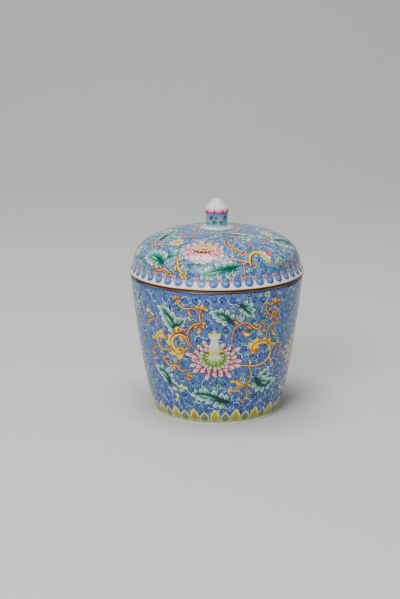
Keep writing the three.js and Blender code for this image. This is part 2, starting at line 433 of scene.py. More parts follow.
def paintVine(brush, points, volute):
    # A thin green tendril that ends in a volute.
    line = curledOn(throughPoints(points, 6 * len(points)), volute, 420, 1.5, 14)
    breadth = 0.6 * np.linspace(0.7, 1.1, len(line))
    brush.outlined([band(line, breadth)], "inkGreen", 0.24)
    brush.fill(band(line, breadth), "sage", "frost", line[0], line[-1])


def paintCurl(brush, size, kind, spots):
    # One curl of the ground: a dark line and a pale one that run together almost round a spot, with two
    # leaflets on their outside.
    placed = brush.at((0, 0), 0, size)
    line = sweep((0.0, -2.4), 0, 11.6, 21, 35, 8)
    outward = unit(line - line.mean(axis=0))
    turn = np.arange(7) * math.tau / 7
    placed.fill(line.mean(axis=0) + 1.3 * np.column_stack([np.cos(turn), np.sin(turn)]), spots[kind])
    placed.fill(band(line - outward * 0.14, (0.4, 0.8, 0.9, 0.9, 0.9, 0.9, 1.0, 1.2)),
                "inkGreen" if kind == 2 else "ink")
    placed.fill(band(line[:-1] + outward[:-1] * 0.1, (0.2, 0.36, 0.42, 0.42, 0.42, 0.42, 0.5)),
                ("sage", "sea", "moss", "sky")[kind], ("mint", "frost", "lime", "frost")[kind], line[1],
                line[-2])
    for k, heading, length in ((1, -62, 2.1), (3, -58, 1.8)):
        run = line[k + 1] - line[k]
        heading = math.degrees(math.atan2(run[1], run[0])) + heading
        outline = [(0.0, 0.1), (0.5, length * 0.55), (0.0, length), (-0.5, length * 0.55)]
        placed.at(line[k], heading - 90).fill(outline, ("sage", "mint", "lime", "sea")[kind])


def paintSprig(brush, size, kind):
    # Three leaflets from one spot.
    for turn, length in ((-50, 1.7), (8, 2.3), (70, 1.6)):
        outline = [(0.0, 0.0), (0.46, length * 0.6), (0.0, length), (-0.46, length * 0.6)]
        brush.at((0, 0), turn, size).fill(outline, ("sage", "mint", "lime", "inkGreen")[kind])


def curlField(wall, keepClear, settings, low, high):
    # Curls and sprigs over the free part of a canvas, each turned at random. None lies under a large motif,
    # or beyond the low and high levels.
    rng = np.random.default_rng(settings["seed"])
    spacing = settings["curlSpacing"]
    curls = []
    for kind, shift in ((paintSprig, 0.5), (partial(paintCurl, spots=settings["curlSpots"]), 0.0)):
        spots = wall.fieldSpots(spacing) + np.array([shift, shift * 0.58]) * spacing
        spots = spots + rng.uniform(-0.2, 0.2, spots.shape) * spacing
        free = np.ones(len(spots), bool)
        for polygon, *_ in keepClear:
            if abs(signedArea(polygon)) > 6:
                free &= ~covers(polygon, spots)
        for spot in spots[free]:
            one = []
            brush = Brush(one, offset=spot).at((0, 0), rng.uniform(0, 360), 1, rng.random() < 0.5)
            kind(brush, settings["curlSize"] * rng.uniform(0.85, 1.15),
                 rng.choice(4, p=(0.4, 0.26, 0.1, 0.24)))
            level = wall.level(np.vstack([shape[0] for shape in one]))
            if low < level.min() and level.max() < high:
                curls.extend(one)
    return curls


# Turned walls

columns = 180
columnAngles = np.linspace(-math.pi, math.pi, columns + 1)


def cubic(a, b, c, d, count):
    # The cubic curve with ends a and d and handles b and c.
    t = np.linspace(0, 1, count)[:, None]
    a, b, c, d = (np.asarray(p, float) for p in (a, b, c, d))
    return (1 - t) ** 3 * a + 3 * t * (1 - t) ** 2 * b + 3 * t ** 2 * (1 - t) * c + t ** 3 * d


def rounding(start, corner, end, count=5):
    # A corner eased by a quadratic curve.
    t = np.linspace(0, 1, count)[:, None]
    start, corner, end = (np.asarray(p, float) for p in (start, corner, end))
    return (1 - t) ** 2 * start + 2 * t * (1 - t) * corner + t ** 2 * end


def profileNormals(profile):
    # Outward directions (along the radius, upwards) of a profile that runs up the outside.
    run = unit(np.gradient(profile, axis=0))
    return np.column_stack([run[:, 1], -run[:, 0]])


def turnedPoint(angle, radius, height):
    # A point of a turned surface. Angle 0 faces the front, -Y, and grows towards +X.
    return np.stack([radius * np.sin(angle), -radius * np.cos(angle), height], axis=-1)


class Skin:
    # Gathers the triangles of one piece, with each corner's normal, paint and map place.
    def __init__(self):
        self.corners, self.normals, self.colours, self.places, self.finishes = [], [], [], [], []

    def add(self, corners, normals, colours, places, finish):
        # One batch of triangles.
        self.corners.append(corners)
        self.normals.append(normals)
        self.colours.append(colours)
        self.places.append(places)
        self.finishes.append(np.full(len(corners), finish))

    def strip(self, profile, colour, finish, lowPlace, placeScale, carve=None):
        # A plain turned stretch along a profile, on a full ring of columns. Gives the next free map place.
        profile = np.asarray(profile, float)
        normals = profileNormals(profile)
        along = np.concatenate([[0], np.cumsum(np.linalg.norm(np.diff(profile, axis=0), axis=1))])
        row, column = np.meshgrid(np.arange(len(profile) - 1), np.arange(columns), indexing="ij")
        row, column = row.ravel(), column.ravel()
        rows = np.stack([row, row, row + 1, row, row + 1, row + 1], axis=-1).reshape(-1, 3)
        sides = np.stack([column, column + 1, column + 1, column, column + 1, column], axis=-1).reshape(-1, 3)
        angle = columnAngles[sides]
        radius, height = profile[rows, 0], profile[rows, 1]
        if carve:
            radius = radius * carve(angle, radius, height)
        corners = turnedPoint(angle, radius, height)
        facing = turnedPoint(angle, normals[rows, 0], normals[rows, 1])
        places = np.stack([sides / columns * 0.98 + 0.01, lowPlace + along[rows] * placeScale], axis=-1)
        crossed = np.cross(corners[:, 1] - corners[:, 0], corners[:, 2] - corners[:, 0])
        kept = np.linalg.norm(crossed, axis=1) > 1e-7
        colours = np.broadcast_to([*colour, 0.0], (*corners.shape[:2], 4))
        self.add(corners[kept], facing[kept], colours[kept], places[kept], finish)
        return lowPlace + along[-1] * placeScale + 0.006

    def build(self, name, materials):
        # One closed mesh: corners at the same place share a vertex, and each corner keeps its own normal.
        corners = np.concatenate(self.corners).reshape(-1, 3)
        rounded = np.round(corners, 4) + 0.0
        _, first, vertexOf = np.unique(rounded, axis=0, return_index=True, return_inverse=True)
        vertices, triangles = corners[first] * mm, vertexOf.reshape(-1, 3)
        sound = np.all(triangles != np.roll(triangles, 1, axis=1), axis=1)
        mesh = bpy.data.meshes.new(name)
        mesh.from_pydata(vertices.tolist(), [], triangles[sound].tolist())
        loops = np.repeat(sound, 3)
        mesh.polygons.foreach_set("material_index", np.concatenate(self.finishes)[sound].astype(np.int32))
        mesh.polygons.foreach_set("use_smooth", np.ones(int(sound.sum()), bool))
        paintLayer = mesh.color_attributes.new("paint", "FLOAT_COLOR", "CORNER")
        colours = np.concatenate(self.colours).reshape(-1, 4)[loops]
        paintLayer.data.foreach_set("color", colours.ravel().astype(np.float32))
        mapLayer = mesh.uv_layers.new(name="OFBake")
        places = np.concatenate(self.places).reshape(-1, 2)[loops]
        mapLayer.data.foreach_set("uv", places.ravel().astype(np.float32))
        mesh.normals_split_custom_set(unit(np.concatenate(self.normals).reshape(-1, 3)[loops]).tolist())
        for material in materials:
            mesh.materials.append(material)
        piece = bpy.data.objects.new(name, mesh)
        bpy.context.scene.collection.objects.link(piece)
        print(name, "has", len(mesh.polygons), "triangles and", len(mesh.vertices), "vertices")
        return piece


keyBase = np.int64(1) << 31  # more than any vertex number
offCanvas, pastEdge, unsettled = -1, -2, -9  # labels of no polygon


def edgeKeys(triangles):
    # One number for each of a triangle's edges, from its two ends, and for the same edges run the other way.
    ahead = np.roll(triangles, -1, axis=1)
    return triangles * keyBase + ahead, ahead * keyBase + triangles


def find(keys, wanted):
    # Where each wanted number stands among the keys, or -1.
    order = np.argsort(keys)
    place = np.minimum(np.searchsorted(keys[order], wanted), len(keys) - 1)
    return np.where(keys[order][place] == wanted, order[place], -1)


def cutCanvas(polygons, spots):
    # Triangles of a canvas cut along polygons, and as their labels the last polygon over each. The first
    # polygon is the canvas.
    starts = np.concatenate([[0], np.cumsum([len(p) for p in polygons])])
    faces = [list(range(a, b)) for a, b in zip(starts[:-1], starts[1:])]
    laid = [tuple(p) for p in np.vstack(polygons + [spots])]
    points, _, triangles, origins, _, sources = delaunay_2d_cdt(laid, [], faces, 0, 1e-4, True)
    triangles = np.array(triangles, np.int64)
    labels = np.array([max(s) if s and min(s) == 0 else offCanvas for s in sources])

    # Edges that two labels share are kept, with the spots. All other points are hidden under later shapes.
    forward, backward = edgeKeys(triangles)
    across = find(forward.ravel(), backward)
    shown = np.where(across < 0, pastEdge, labels[across // 3]) != labels[:, None]
    keptEdges = np.column_stack([triangles[shown], np.roll(triangles, -1, axis=1)[shown]])
    isSpot = np.array([max(o) >= starts[-1] if o else False for o in origins])
    needed = isSpot.copy()
    needed[keptEdges.ravel()] = True
    renumbered = np.cumsum(needed) - 1
    points = np.array([tuple(p) for p in points])[needed]
    edges = renumbered[keptEdges]
    sides = np.repeat(labels[:, None], 3, axis=1)[shown]

    laid = [tuple(p) for p in points]
    fresh, _, triangles, origins, _, _ = delaunay_2d_cdt(laid, edges.tolist(), [], 0, 1e-5, True)
    becomes = np.zeros(len(points), np.int64)
    merged = np.concatenate([np.array(o, np.int64) for o in origins if o])
    becomes[merged] = np.repeat(np.arange(len(origins)), [len(o) for o in origins])
    edges = becomes[edges]
    triangles = np.array(triangles, np.int64)
    forward, backward = edgeKeys(triangles)
    cut = find(edges[:, 0] * keyBase + edges[:, 1], forward)
    labels = np.where(cut < 0, unsettled, sides[cut]).max(axis=1)

    # A triangle without a cut edge takes its neighbour's label, again and again until all have one.
    across = find(forward.ravel(), backward)
    neighbour = np.where((cut < 0) & (across >= 0), across // 3, -1)
    while np.any(labels == unsettled):
        taken = np.where(neighbour < 0, unsettled, labels[neighbour]).max(axis=1)
        changed = (labels == unsettled) & (taken > unsettled)
        if not np.any(changed):
            break
        labels[changed] = taken[changed]
    return np.array([tuple(p) for p in fresh]), triangles, labels


class PaintedWall:
    # A turned skin and its canvas. 'climb' is the length up the wall divided by the radius there, added up,
    # so that a shape keeps its form wherever it is laid. A round canvas is the wall seen from above, spread
    # flat.
    def __init__(self, profile, reference, isRound=False, carve=None, grid=1.0):
        self.profile = np.asarray(profile, float)
        radius = self.profile[:, 0]
        run = np.linalg.norm(np.diff(self.profile, axis=0), axis=1)
        self.climb = np.concatenate([[0], np.cumsum(run / (0.5 * (radius[1:] + radius[:-1])))])
        self.reference, self.isRound, self.carve = reference, isRound, carve
        self.grid = grid * 2 * math.pi * reference / columns
        self.normals = profileNormals(self.profile)
        if isRound:
            level = np.interp(-reference, -radius, self.climb)
            self.outerRadius = reference * math.exp(level)
            self.innerRadius = self.outerRadius * math.exp(-self.climb[-1])
            self.height = self.outerRadius
        else:
            self.width, self.height = 2 * math.pi * reference, reference * self.climb[-1]

    def canvasHeight(self, height):
        # The canvas level of a height on the wall.
        return self.reference * np.interp(height, self.profile[:, 1], self.climb)

    def level(self, spots):
        # How far up the canvas spots lie, or how far from its middle on a round one.
        return np.linalg.norm(spots, axis=-1) if self.isRound else spots[..., 1]

    def angleAndClimb(self, spots):
        # Where canvas spots come to lie on the wall. On a round canvas the climb is the logarithm of the
        # share that the edge's radius is of the spot's.
        if self.isRound:
            radius = np.maximum(np.linalg.norm(spots, axis=-1), 1e-6)
            return np.arctan2(spots[..., 0], -spots[..., 1]), np.log(self.outerRadius / radius)
        return spots[..., 0] / self.reference, spots[..., 1] / self.reference

    def surface(self, angle, climb):
        # The wall's points: the profile's radius and height at each climb, turned.
        radius = np.interp(climb, self.climb, self.profile[:, 0])
        height = np.interp(climb, self.climb, self.profile[:, 1])
        if self.carve:
            radius = radius * self.carve(angle, radius, height)
        return turnedPoint(angle, radius, height)

    def facing(self, angle, climb):
        # The outward directions: the profile's own, or on a carved wall the cross product of two small steps.
        if self.carve:
            small = 1e-3
            across = self.surface(angle + small, climb) - self.surface(angle - small, climb)
            upwards = self.surface(angle, climb + small) - self.surface(angle, climb - small)
            return unit(np.cross(across, upwards))
        outward = np.interp(climb, self.climb, self.normals[:, 0])
        upward = np.interp(climb, self.climb, self.normals[:, 1])
        return unit(turnedPoint(angle, outward, upward))

    def border(self):
        # The canvas's edge with a point at every column, and the hole in a round canvas.
        if self.isRound:
            ring = np.column_stack([np.sin(columnAngles[:-1]), -np.cos(columnAngles[:-1])])
            return ring * self.outerRadius, [(ring * self.innerRadius)]
        across = columnAngles * self.reference
        low = np.column_stack([across, np.zeros_like(across)])
        high = np.column_stack([across, np.full_like(across, self.height)])
        levels = np.linspace(0, self.height, 50)[1:-1]
        right = np.column_stack([np.full_like(levels, across[-1]), levels])
        return np.vstack([low, right, high[::-1], (right * [-1, 1])[::-1]]), []

    def fieldSpots(self, spacing):
        # Spots all over the canvas, in staggered rows.
        if self.isRound:
            reach = self.outerRadius
            x, y = np.meshgrid(np.arange(-reach, reach, spacing), np.arange(-reach, reach, spacing * 0.866))
            x = x + (np.arange(len(x)) % 2)[:, None] * spacing / 2
            spots = np.column_stack([x.ravel(), y.ravel()])
            distance = np.linalg.norm(spots, axis=1)
            return spots[(distance < self.outerRadius - 1) & (distance > self.innerRadius + 1)]
        count = round(self.width / spacing)
        x = (np.arange(count) + 0.25) / count * self.width - self.width / 2
        y = np.arange(spacing / 2, self.height - 1, spacing * 0.866)
        x, y = np.meshgrid(x, y)
        x = x + (np.arange(len(x)) % 2)[:, None] * self.width / count / 2
        return np.column_stack([x.ravel(), y.ravel()])

    def paintOn(self, skin, shapes, ground, finish, places):
        # Cuts the canvas along all shapes and bends it round the wall. The shape laid last shows. The paint's
        # fourth value is 1 on the bare ground.
        edge, holes = self.border()
        if not self.isRound:
            shapes = [copy for shape in shapes for copy in self.wrapped(shape)]
        polygons = [edge] + [shape[0] for shape in shapes] + holes
        points, triangles, laidLast = cutCanvas(polygons, self.fieldSpots(self.grid))
        if not self.isRound:
            # Both sides of the seam get the same levels, and levels that nearly meet become one.
            seam = np.flatnonzero(np.abs(np.abs(points[:, 0]) - self.width / 2) < 1e-3)
            seam = seam[np.argsort(points[seam, 1])]
            group = np.concatenate([[0], np.cumsum(np.diff(points[seam, 1]) > 2e-3)])
            points[seam, 1] = (np.bincount(group, points[seam, 1]) / np.bincount(group))[group]
            points[seam, 0] = np.sign(points[seam, 0]) * self.width / 2
        kept = (laidLast >= 0) & (laidLast <= len(shapes))
        triangles, laidLast = triangles[kept], laidLast[kept]
        corners = points[triangles]

        base = (edge, *(paint[colour] for colour in ground), np.zeros(2), np.array([0, self.height]))
        layers = [base] + shapes
        first, second, start, end = (np.array([layer[k] for layer in layers])[laidLast][:, None]
                                     for k in (1, 2, 3, 4))
        way = end - start
        share = np.sum((corners - start) * way, axis=-1) / np.maximum(np.sum(way ** 2, axis=-1), 1e-9)
        colours = first + (second - first) * np.clip(share, 0, 1)[..., None]
        netted = [paint["ground"], paint["lidGroundLit"]]
        grounds = [float(any(np.array_equal(layer[1], colour) for colour in netted)) for layer in layers]
        onGround = np.broadcast_to(np.array(grounds)[laidLast][:, None, None], (*share.shape, 1))
        colours = np.concatenate([colours, onGround], axis=-1)

        angle, climb = self.angleAndClimb(corners)
        atEdge = (np.abs(climb) < 1e-4) | (np.abs(climb - self.climb[-1]) < 1e-4)
        column = np.round((angle + math.pi) / (2 * math.pi) * columns).astype(int)
        angle = np.where(atEdge, columnAngles[column], angle)
        climb = np.where(np.abs(climb) < 1e-4, 0, np.where(atEdge, self.climb[-1], climb))
        skin.add(self.surface(angle, climb), self.facing(angle, climb), colours, places(corners), finish)

    def wrapped(self, shape):
        # The shape, and its copy at the canvas's other side where it runs over the seam.
        points, first, second, start, end = shape
        copies = [shape]
        for side in (-1, 1):
            if np.max(side * points[:, 0]) > self.width / 2:
                move = np.array([-side * self.width, 0])
                copies.append((points + move, first, second, start + move, end + move))
        return copies


# Materials

class Value:
    # A shader value that can be added, subtracted and multiplied as a number is.
    def __init__(self, nodes, socket):
        self.nodes, self.socket = nodes, socket

    def combine(self, operation, other, swapped=False):
        pair = [other, self] if swapped else [self, other]
        return self.nodes.make("ShaderNodeMath", dict(operation=operation), {0: pair[0], 1: pair[1]})

    def __add__(self, other):
        return self.combine("ADD", other)

    def __radd__(self, other):
        return self.combine("ADD", other, True)

    def __sub__(self, other):
        return self.combine("SUBTRACT", other)

    def __rsub__(self, other):
        return self.combine("SUBTRACT", other, True)

    def __mul__(self, other):
        return self.combine("MULTIPLY", other)

    def __rmul__(self, other):
        return self.combine("MULTIPLY", other, True)

    def __abs__(self):
        return self.nodes.make("ShaderNodeMath", dict(operation="ABSOLUTE"), {0: self})

    def rising(self, low, high):
        # 0 below one level, 1 above the other and smooth between. It falls if low is the greater.
        inputs = {"Value": self, "From Min": low, "From Max": high}
        return self.nodes.make("ShaderNodeMapRange", dict(interpolation_type="SMOOTHSTEP"), inputs)


class Nodes:
    # The node tree of one material.
    def __init__(self, name):
        self.material = bpy.data.materials.new(name)
        self.material.use_nodes = True
        self.tree = self.material.node_tree
        self.tree.nodes.clear()

    def make(self, kind, settings=None, inputs=None, output=0):
        # Any node: its settings, its inputs as numbers, colours or values, and the output that it is used by.
        # A ramp's stops are (position, colour) pairs.
        node = self.tree.nodes.new(kind)
        settings = dict(settings or {})
        for k, (position, colour) in enumerate(settings.pop("stops", ())):
            stop = node.color_ramp.elements[k]
            stop.position, stop.color = position, (*colour, 1)
        for key, setting in settings.items():
            setattr(node, key, setting)
        for key, given in (inputs or {}).items():
            if isinstance(given, Value):
                self.tree.links.new(given.socket, node.inputs[key])
            else:
                node.inputs[key].default_value = given
        return Value(self, node.outputs[output]) if node.outputs else None

    def noise(self, scale, detail=2.0, roughness=0.5):
        # Noise in the object's own metres, from 0 to 1.
        place = self.make("ShaderNodeTexCoord", output="Object")
        inputs = {"Vector": place, "Scale": scale, "Detail": detail, "Roughness": roughness}
        return self.make("ShaderNodeTexNoise", inputs=inputs, output="Fac")

    def blend(self, share, first, second):
        # Two colours mixed by a share of the second.
        return self.make("ShaderNodeMix", dict(data_type="RGBA"), {0: share, 6: first, 7: second}, 2)

    def surface(self, inputs, height, strength, distance):
        # The finished material: a principled surface with a bump of one height.
        relief = {"Height": height, "Strength": strength, "Distance": distance}
        bump = self.make("ShaderNodeBump", inputs=relief, output="Normal")
        shader = self.make("ShaderNodeBsdfPrincipled", inputs=dict(inputs, Normal=bump))
        self.make("ShaderNodeOutputMaterial", inputs={"Surface": shader})
        return self.material


def enamelMaterial(name, mottle, scrolls):
    # Painted enamel: its pigment lies a little unevenly, and the fired glass over it ripples faintly. The
    # bare ground carries a fine net of pale and dark lines, drawn where a noise passes one level and another.
    nodes = Nodes(name)
    pigment = nodes.make("ShaderNodeAttribute", dict(attribute_name="paint"), output="Color")
    clouds = nodes.noise(45, 2.0)
    grains = nodes.noise(900, 2.0, 0.7)
    if scrolls:
        ground = nodes.make("ShaderNodeAttribute", dict(attribute_name="paint"), output="Alpha")
        curls = nodes.noise(scrolls, 1.0)
        patches = nodes.noise(scrolls * 0.5, 2.0)
        pigment = nodes.blend(patches.rising(0.44, 0.6) * ground * 0.7, pigment, (*paint["steel"], 1))
        darkLine = abs(curls - 0.56).rising(0.045, 0.02) * ground
        paleLine = abs(curls - 0.49).rising(0.03, 0.012) * ground
        pigment = nodes.blend(darkLine * 0.6, pigment, (*paint["ink"], 1))
        pigment = nodes.blend(paleLine * 0.5, pigment, (*paint["tile"], 1))
    strength = 1.0 - mottle * 0.7 + clouds * mottle + grains * mottle * 0.4
    tone = nodes.make("ShaderNodeHueSaturation", inputs={
        "Color": pigment, "Value": strength, "Hue": 0.47 + 0.06 * clouds, "Saturation": 1.12 - clouds * 0.1})
    ripple = nodes.noise(160, 2.0) * 0.7 + nodes.noise(700, 1.0) * 0.3
    inputs = {"Base Color": tone, "Roughness": 0.2 + 0.12 * grains, "Coat Weight": 0.15,
              "Coat Roughness": 0.06, "IOR": 1.4}
    return nodes.surface(inputs, ripple, 0.25, 0.00025)


def metalMaterial(name, dark, bright):
    # Bare copper, worn dark with brighter rubbed places. With the lid's darker stops it also holds painted
    # shade of the gap between lid and jar.
    nodes = Nodes(name)
    rub = nodes.noise(70, 3.0, 0.5)
    fine = nodes.noise(1500, 2.0)
    stops = ((0.3, linear(*dark)), (0.75, linear(*bright)))
    tone = nodes.make("ShaderNodeValToRGB", dict(stops=stops), {"Fac": rub})
    inputs = {"Base Color": tone, "Metallic": 0.85, "Roughness": 0.52 - 0.2 * rub + 0.08 * fine}
    return nodes.surface(inputs, fine, 0.3, 0.0001)


enamel = enamelMaterial("painted enamel", 0.26, 420)
plainEnamel = enamelMaterial("plain enamel", 0.1, 0)
copper = metalMaterial("bare copper", (112, 72, 46), (164, 114, 76))
# The lid's bare copper edge is darker: its own worn copper and painted shade of the gap between lid and jar.
gapShadeCopper = metalMaterial("dark copper", (36, 20, 12), (76, 46, 28))
painted, plain, bare = 0, 1, 2


# Jar

jarHigh = nodeBox("jar")[1]
jar = dict(
    height=jarHigh[2], mouthRadius=jarHigh[0], wall=2.0, rimRounding=0.5, bareRim=1.0,
    footBandRadius=44.1, footBandHeight=1.8, footBandProud=0.7, footRingWidth=3.0, footRecess=2.6,
    floorThickness=2.2, floorCorner=3.0,
    footCurve=(7.1, 18.2), mouthCurve=(3.4, 36.0),  # the wall's handles: outwards and up, inwards and down
    canvasReference=52.5, lappets=20, curlSpacing=7.1, curlSize=1.06, seed=11,
    curlSpots=("ground", "sky", "steel", "sky"),
    # The lotuses' spots, and whether each has the scrolls on its left and on its right.
    lotuses=((-1.4, 52, True, True), (72.5, 50.5, False, True), (160.5, 52, False, False),
             (-84, 51, True, False)),
)


def jarWall():
    # The outside of the wall, from the foot band to the rim's rounding.
    foot = np.array([jar["footBandRadius"] - jar["footBandProud"], jar["footBandHeight"]])
    mouth = np.array([jar["mouthRadius"], jar["height"] - jar["rimRounding"]])
    inset, drop = jar["mouthCurve"]
    return cubic(foot, foot + jar["footCurve"], mouth - (inset, drop), mouth, 160)


def paintCentre(brush):
    # The big lotus with the leaves above and below it.
    paintVine(brush, [(2, 27), (8, 31), (12, 36), (17, 33), (18, 28)], volute=-38)
    paintVine(brush, [(-4, -17), (-3, -22), (-7, -26), (-13, -30)], volute=30)
    paintVine(brush, [(2, -16), (5, -21), (9, -24)], volute=44)
    paintLeaf(brush, [(11.5, 24), (8, 27.2), (4.5, 29.6), (1, 31)], 5.0, 3, 52)
    paintLeaf(brush, [(14.5, 36), (18, 34), (20.5, 31.6), (22, 29)], 4.2, 3, 52)
    paintLeaf(brush, [(12, -34.6), (5, -32), (-3, -28.6), (-10, -27), (-16, -26.6)], 6.2, 5, 58)
    paintLotus(brush)


def paintLeftSide(brush):
    # The scrolls and leaves on the lotus's left.
    paintVine(brush, [(-20, -4), (-26, -1), (-31, -3), (-30, -9)], volute=-40)
    paintVine(brush, [(-24, -15), (-30, -14), (-33, -18)], volute=-42)
    paintVine(brush, [(-28, 27), (-22, 29), (-19, 26)], volute=-44)
    paintLeaf(brush, [(-21.4, 14.6), (-25.2, 20.6), (-29.4, 26.0), (-34, 32)], 6.6, 4, 46)
    paintLeaf(brush, [(-25.4, 20.6), (-22.4, 22.6), (-19.6, 24.5)], 3.6, 2, 56)
    paintLeaf(brush, [(-33.6, -23.5), (-34.8, -18), (-38.6, -13.6), (-43, -12.2)], 5.4, 4, 54)
    paintScroll(brush, [(-13.6, 7.6), (-16.4, 12), (-16.6, 17.5), (-13, 22.6), (-8, 24)], (1.3, 1.2),
                hooks=((0.35, 1, 4.6, 1.7, 24), (0.72, -1, 4.2, 2.0, -22)), end=0.8)
    paintScroll(brush, [(-8, 24), (-8.8, 28.5), (-7.8, 33)], (1.2, 1.5), end=1.0)
    paintScroll(brush, [(-8.8, 30.5), (-12.6, 33.6), (-18, 33), (-22, 35.6), (-23.4, 38.6)], (1.1, 1.1),
                hooks=((0.4, 1, 5.0, 1.8, 20), (0.7, -1, 3.6, 1.4, -22)), end=0.6)
    paintHook(brush.at((-9.6, 22.4)), -70, 6.0, 2.2, -18)
    paintScroll(brush, [(-15, 6), (-18, 12.4), (-20.6, 17.6)], (1.0, 1.6), end=0.75,
                tones=("plum", "rose", "gold"))
    paintScroll(brush, [(-17.6, 14.6), (-22, 16), (-26.8, 13.6), (-28.8, 8.6), (-26, 4)], (2.4, 2.8),
                volute=42, hooks=((0.12, 1, 5.4, 2.4, 26), (0.2, -1, 5.8, 2.6, 24), (0.62, -1, 6.6, 3.0, 16)),
                tones=goldTones, ruffles=((0.24, 0.62, -1, 4.6, 4), (0.5, 0.86, -1, 5.4, 4)))
    paintScroll(brush, [(-27, 3.6), (-31.1, 4.2), (-36.2, 3.6), (-40.2, 6.2), (-40.6, 10), (-37.6, 12.6)],
                (1.5, 1.9), volute=-50, hooks=((0.3, 1, 4.0, 1.8, 22), (0.5, 1, 5.2, 2.4, 20)),
                tones=goldTones, ruffles=((0.5, 0.84, 1, 4.2, 4),))
    paintScroll(brush, [(-38.4, 20.4), (-42.1, 22.6), (-46, 21.4), (-48.4, 18.6)], (1.2, 1.3),
                hooks=((0.5, -1, 3.6, 1.6, -24),), end=0.5)
    paintScroll(brush, [(-41, 5), (-45.4, 2.2), (-47.6, -1.4), (-46.4, -4.4)], (1.0, 1.0),
                hooks=((0.55, 1, 3.4, 1.3, 30),), end=0.55)
    paintScroll(brush, [(-18.4, -8.4), (-23.4, -9.8), (-27, -6.4), (-32, -7.4), (-35.6, -3.6)], (1.4, 1.6),
                hooks=((0.3, -1, 4.4, 2.0, -24), (0.5, 1, 4.6, 2.0, 22), (0.75, -1, 3.8, 1.6, -24)), end=0.7)
    paintScroll(brush, [(-10, -10.6), (-14, -9.8), (-18.2, -11.6), (-18.8, -14.6)], (1.1, 1.5),
                hooks=((0.6, 1, 3.6, 1.8, 30),), end=0.6)
    sprouts = (((-33, -26), 40, -24), ((-27.5, -22), -30, 26), ((-23.5, -25), 70, -30),
               ((-44.5, 27), 150, 24), ((-29, -33), 60, 30))
    for spot, heading, bend in sprouts:
        paintHook(brush.at(spot), heading, 5.6, 2.2, bend, freshTones)
        paintHook(brush.at(spot), heading + 150, 3.6, 1.6, bend, freshTones)


def paintRightSide(brush):
    # The scrolls and leaves on the lotus's right.
    paintVine(brush, [(14, -9), (19, -12), (21, -17)], volute=-46)
    paintVine(brush, [(29, 24), (33, 21), (31, 16)], volute=-44)
    paintVine(brush, [(25, 30), (29, 33), (34, 38)], volute=36)
    paintVine(brush, [(30, -12), (35, -9), (41, -10)], volute=44)
    paintLeaf(brush, [(33.6, -21.5), (35.2, -17.6), (38.4, -13.6)], 5.2, 3, 40)
    paintLeaf(brush, [(28.4, -15.4), (33, -20.6), (38.6, -22.8), (44, -21.6)], 6.6, 4, 52)
    paintScroll(brush, [(15.6, -5), (22.9, -6.2), (29.4, -6.8), (36, -4.6), (39.6, 0.2), (38, 6), (33.4, 9.2),
                        (28.2, 9)], (1.7, 2.1), volute=34,
                        hooks=((0.12, 1, 4.6, 1.8, 24), (0.36, -1, 5.0, 1.8, 22), (0.5, -1, 5.6, 2.2, 22)),
                        tones=goldTones, ruffles=((0.5, 0.72, -1, 4.4, 4), (0.66, 0.88, -1, 5.0, 4)))
    paintScroll(brush, [(36.6, 7), (34.8, 13.6), (36.4, 18.8), (41.4, 22.2)], (1.1, 1.4),
                hooks=((0.5, 1, 4.2, 1.6, 26), (0.8, -1, 4.0, 1.6, -26)), end=0.8)
    paintScroll(brush, [(41.4, 22), (41.4, 27.5), (40, 33.6)], (1.2, 1.5),
                hooks=((0.35, 1, 6.4, 2.0, 24), (0.6, 1, 4.4, 1.8, 30)), end=1.1)
    paintScroll(brush, [(41, 26), (36.6, 27), (33.2, 30.4), (34, 33.6)], (1.0, 1.2),
                hooks=((0.6, 1, 3.4, 1.6, 26),), end=0.5)
    paintScroll(brush, [(11, 10.8), (11.5, 17.8), (14.4, 22.2), (19.6, 23.8), (24, 20.6), (27.6, 18.8),
                        (31, 21.4)], (1.1, 1.3),
                        hooks=((0.36, 1, 3.8, 1.7, 26), (0.52, -1, 5.8, 2.2, -20), (0.72, 1, 4.0, 1.8, 24)),
                        end=0.6)
    paintHook(brush.at((17.6, 18.6)), -60, 7.0, 2.4, 16, goldTones)
    paintHook(brush.at((39.2, 17)), -80, 6.4, 1.9, 12, goldTones)
    paintScroll(brush, [(39.6, 1.4), (42.4, 4.8), (47, 6.2), (49, 3.6), (47.4, -0.6), (47.8, -5)], (1.0, 1.1),
                hooks=((0.5, -1, 3.6, 1.4, -26), (0.75, 1, 3.6, 1.4, 26)), end=0.5)
    paintScroll(brush, [(22.9, -6.4), (25, -11), (25, -16.6), (21, -20.4), (16.6, -19.4)], (1.2, 1.6),
                volute=-52, hooks=((0.4, 1, 4.2, 1.8, 24), (0.6, 1, 4.6, 2.0, 22), (0.72, 1, 4.6, 2.2, 20)),
                tones=goldTones)
    paintScroll(brush, [(22, -20.6), (16.6, -22.4), (11.4, -24.8)], (1.2, 1.4),
                hooks=((0.5, 1, 4.0, 1.8, 24),), end=0.7)
    paintScroll(brush, [(23.2, -19.6), (22.4, -25), (23.6, -29), (20.8, -33)], (1.0, 1.0),
                hooks=((0.5, 1, 3.6, 1.5, 26),), end=0.5)


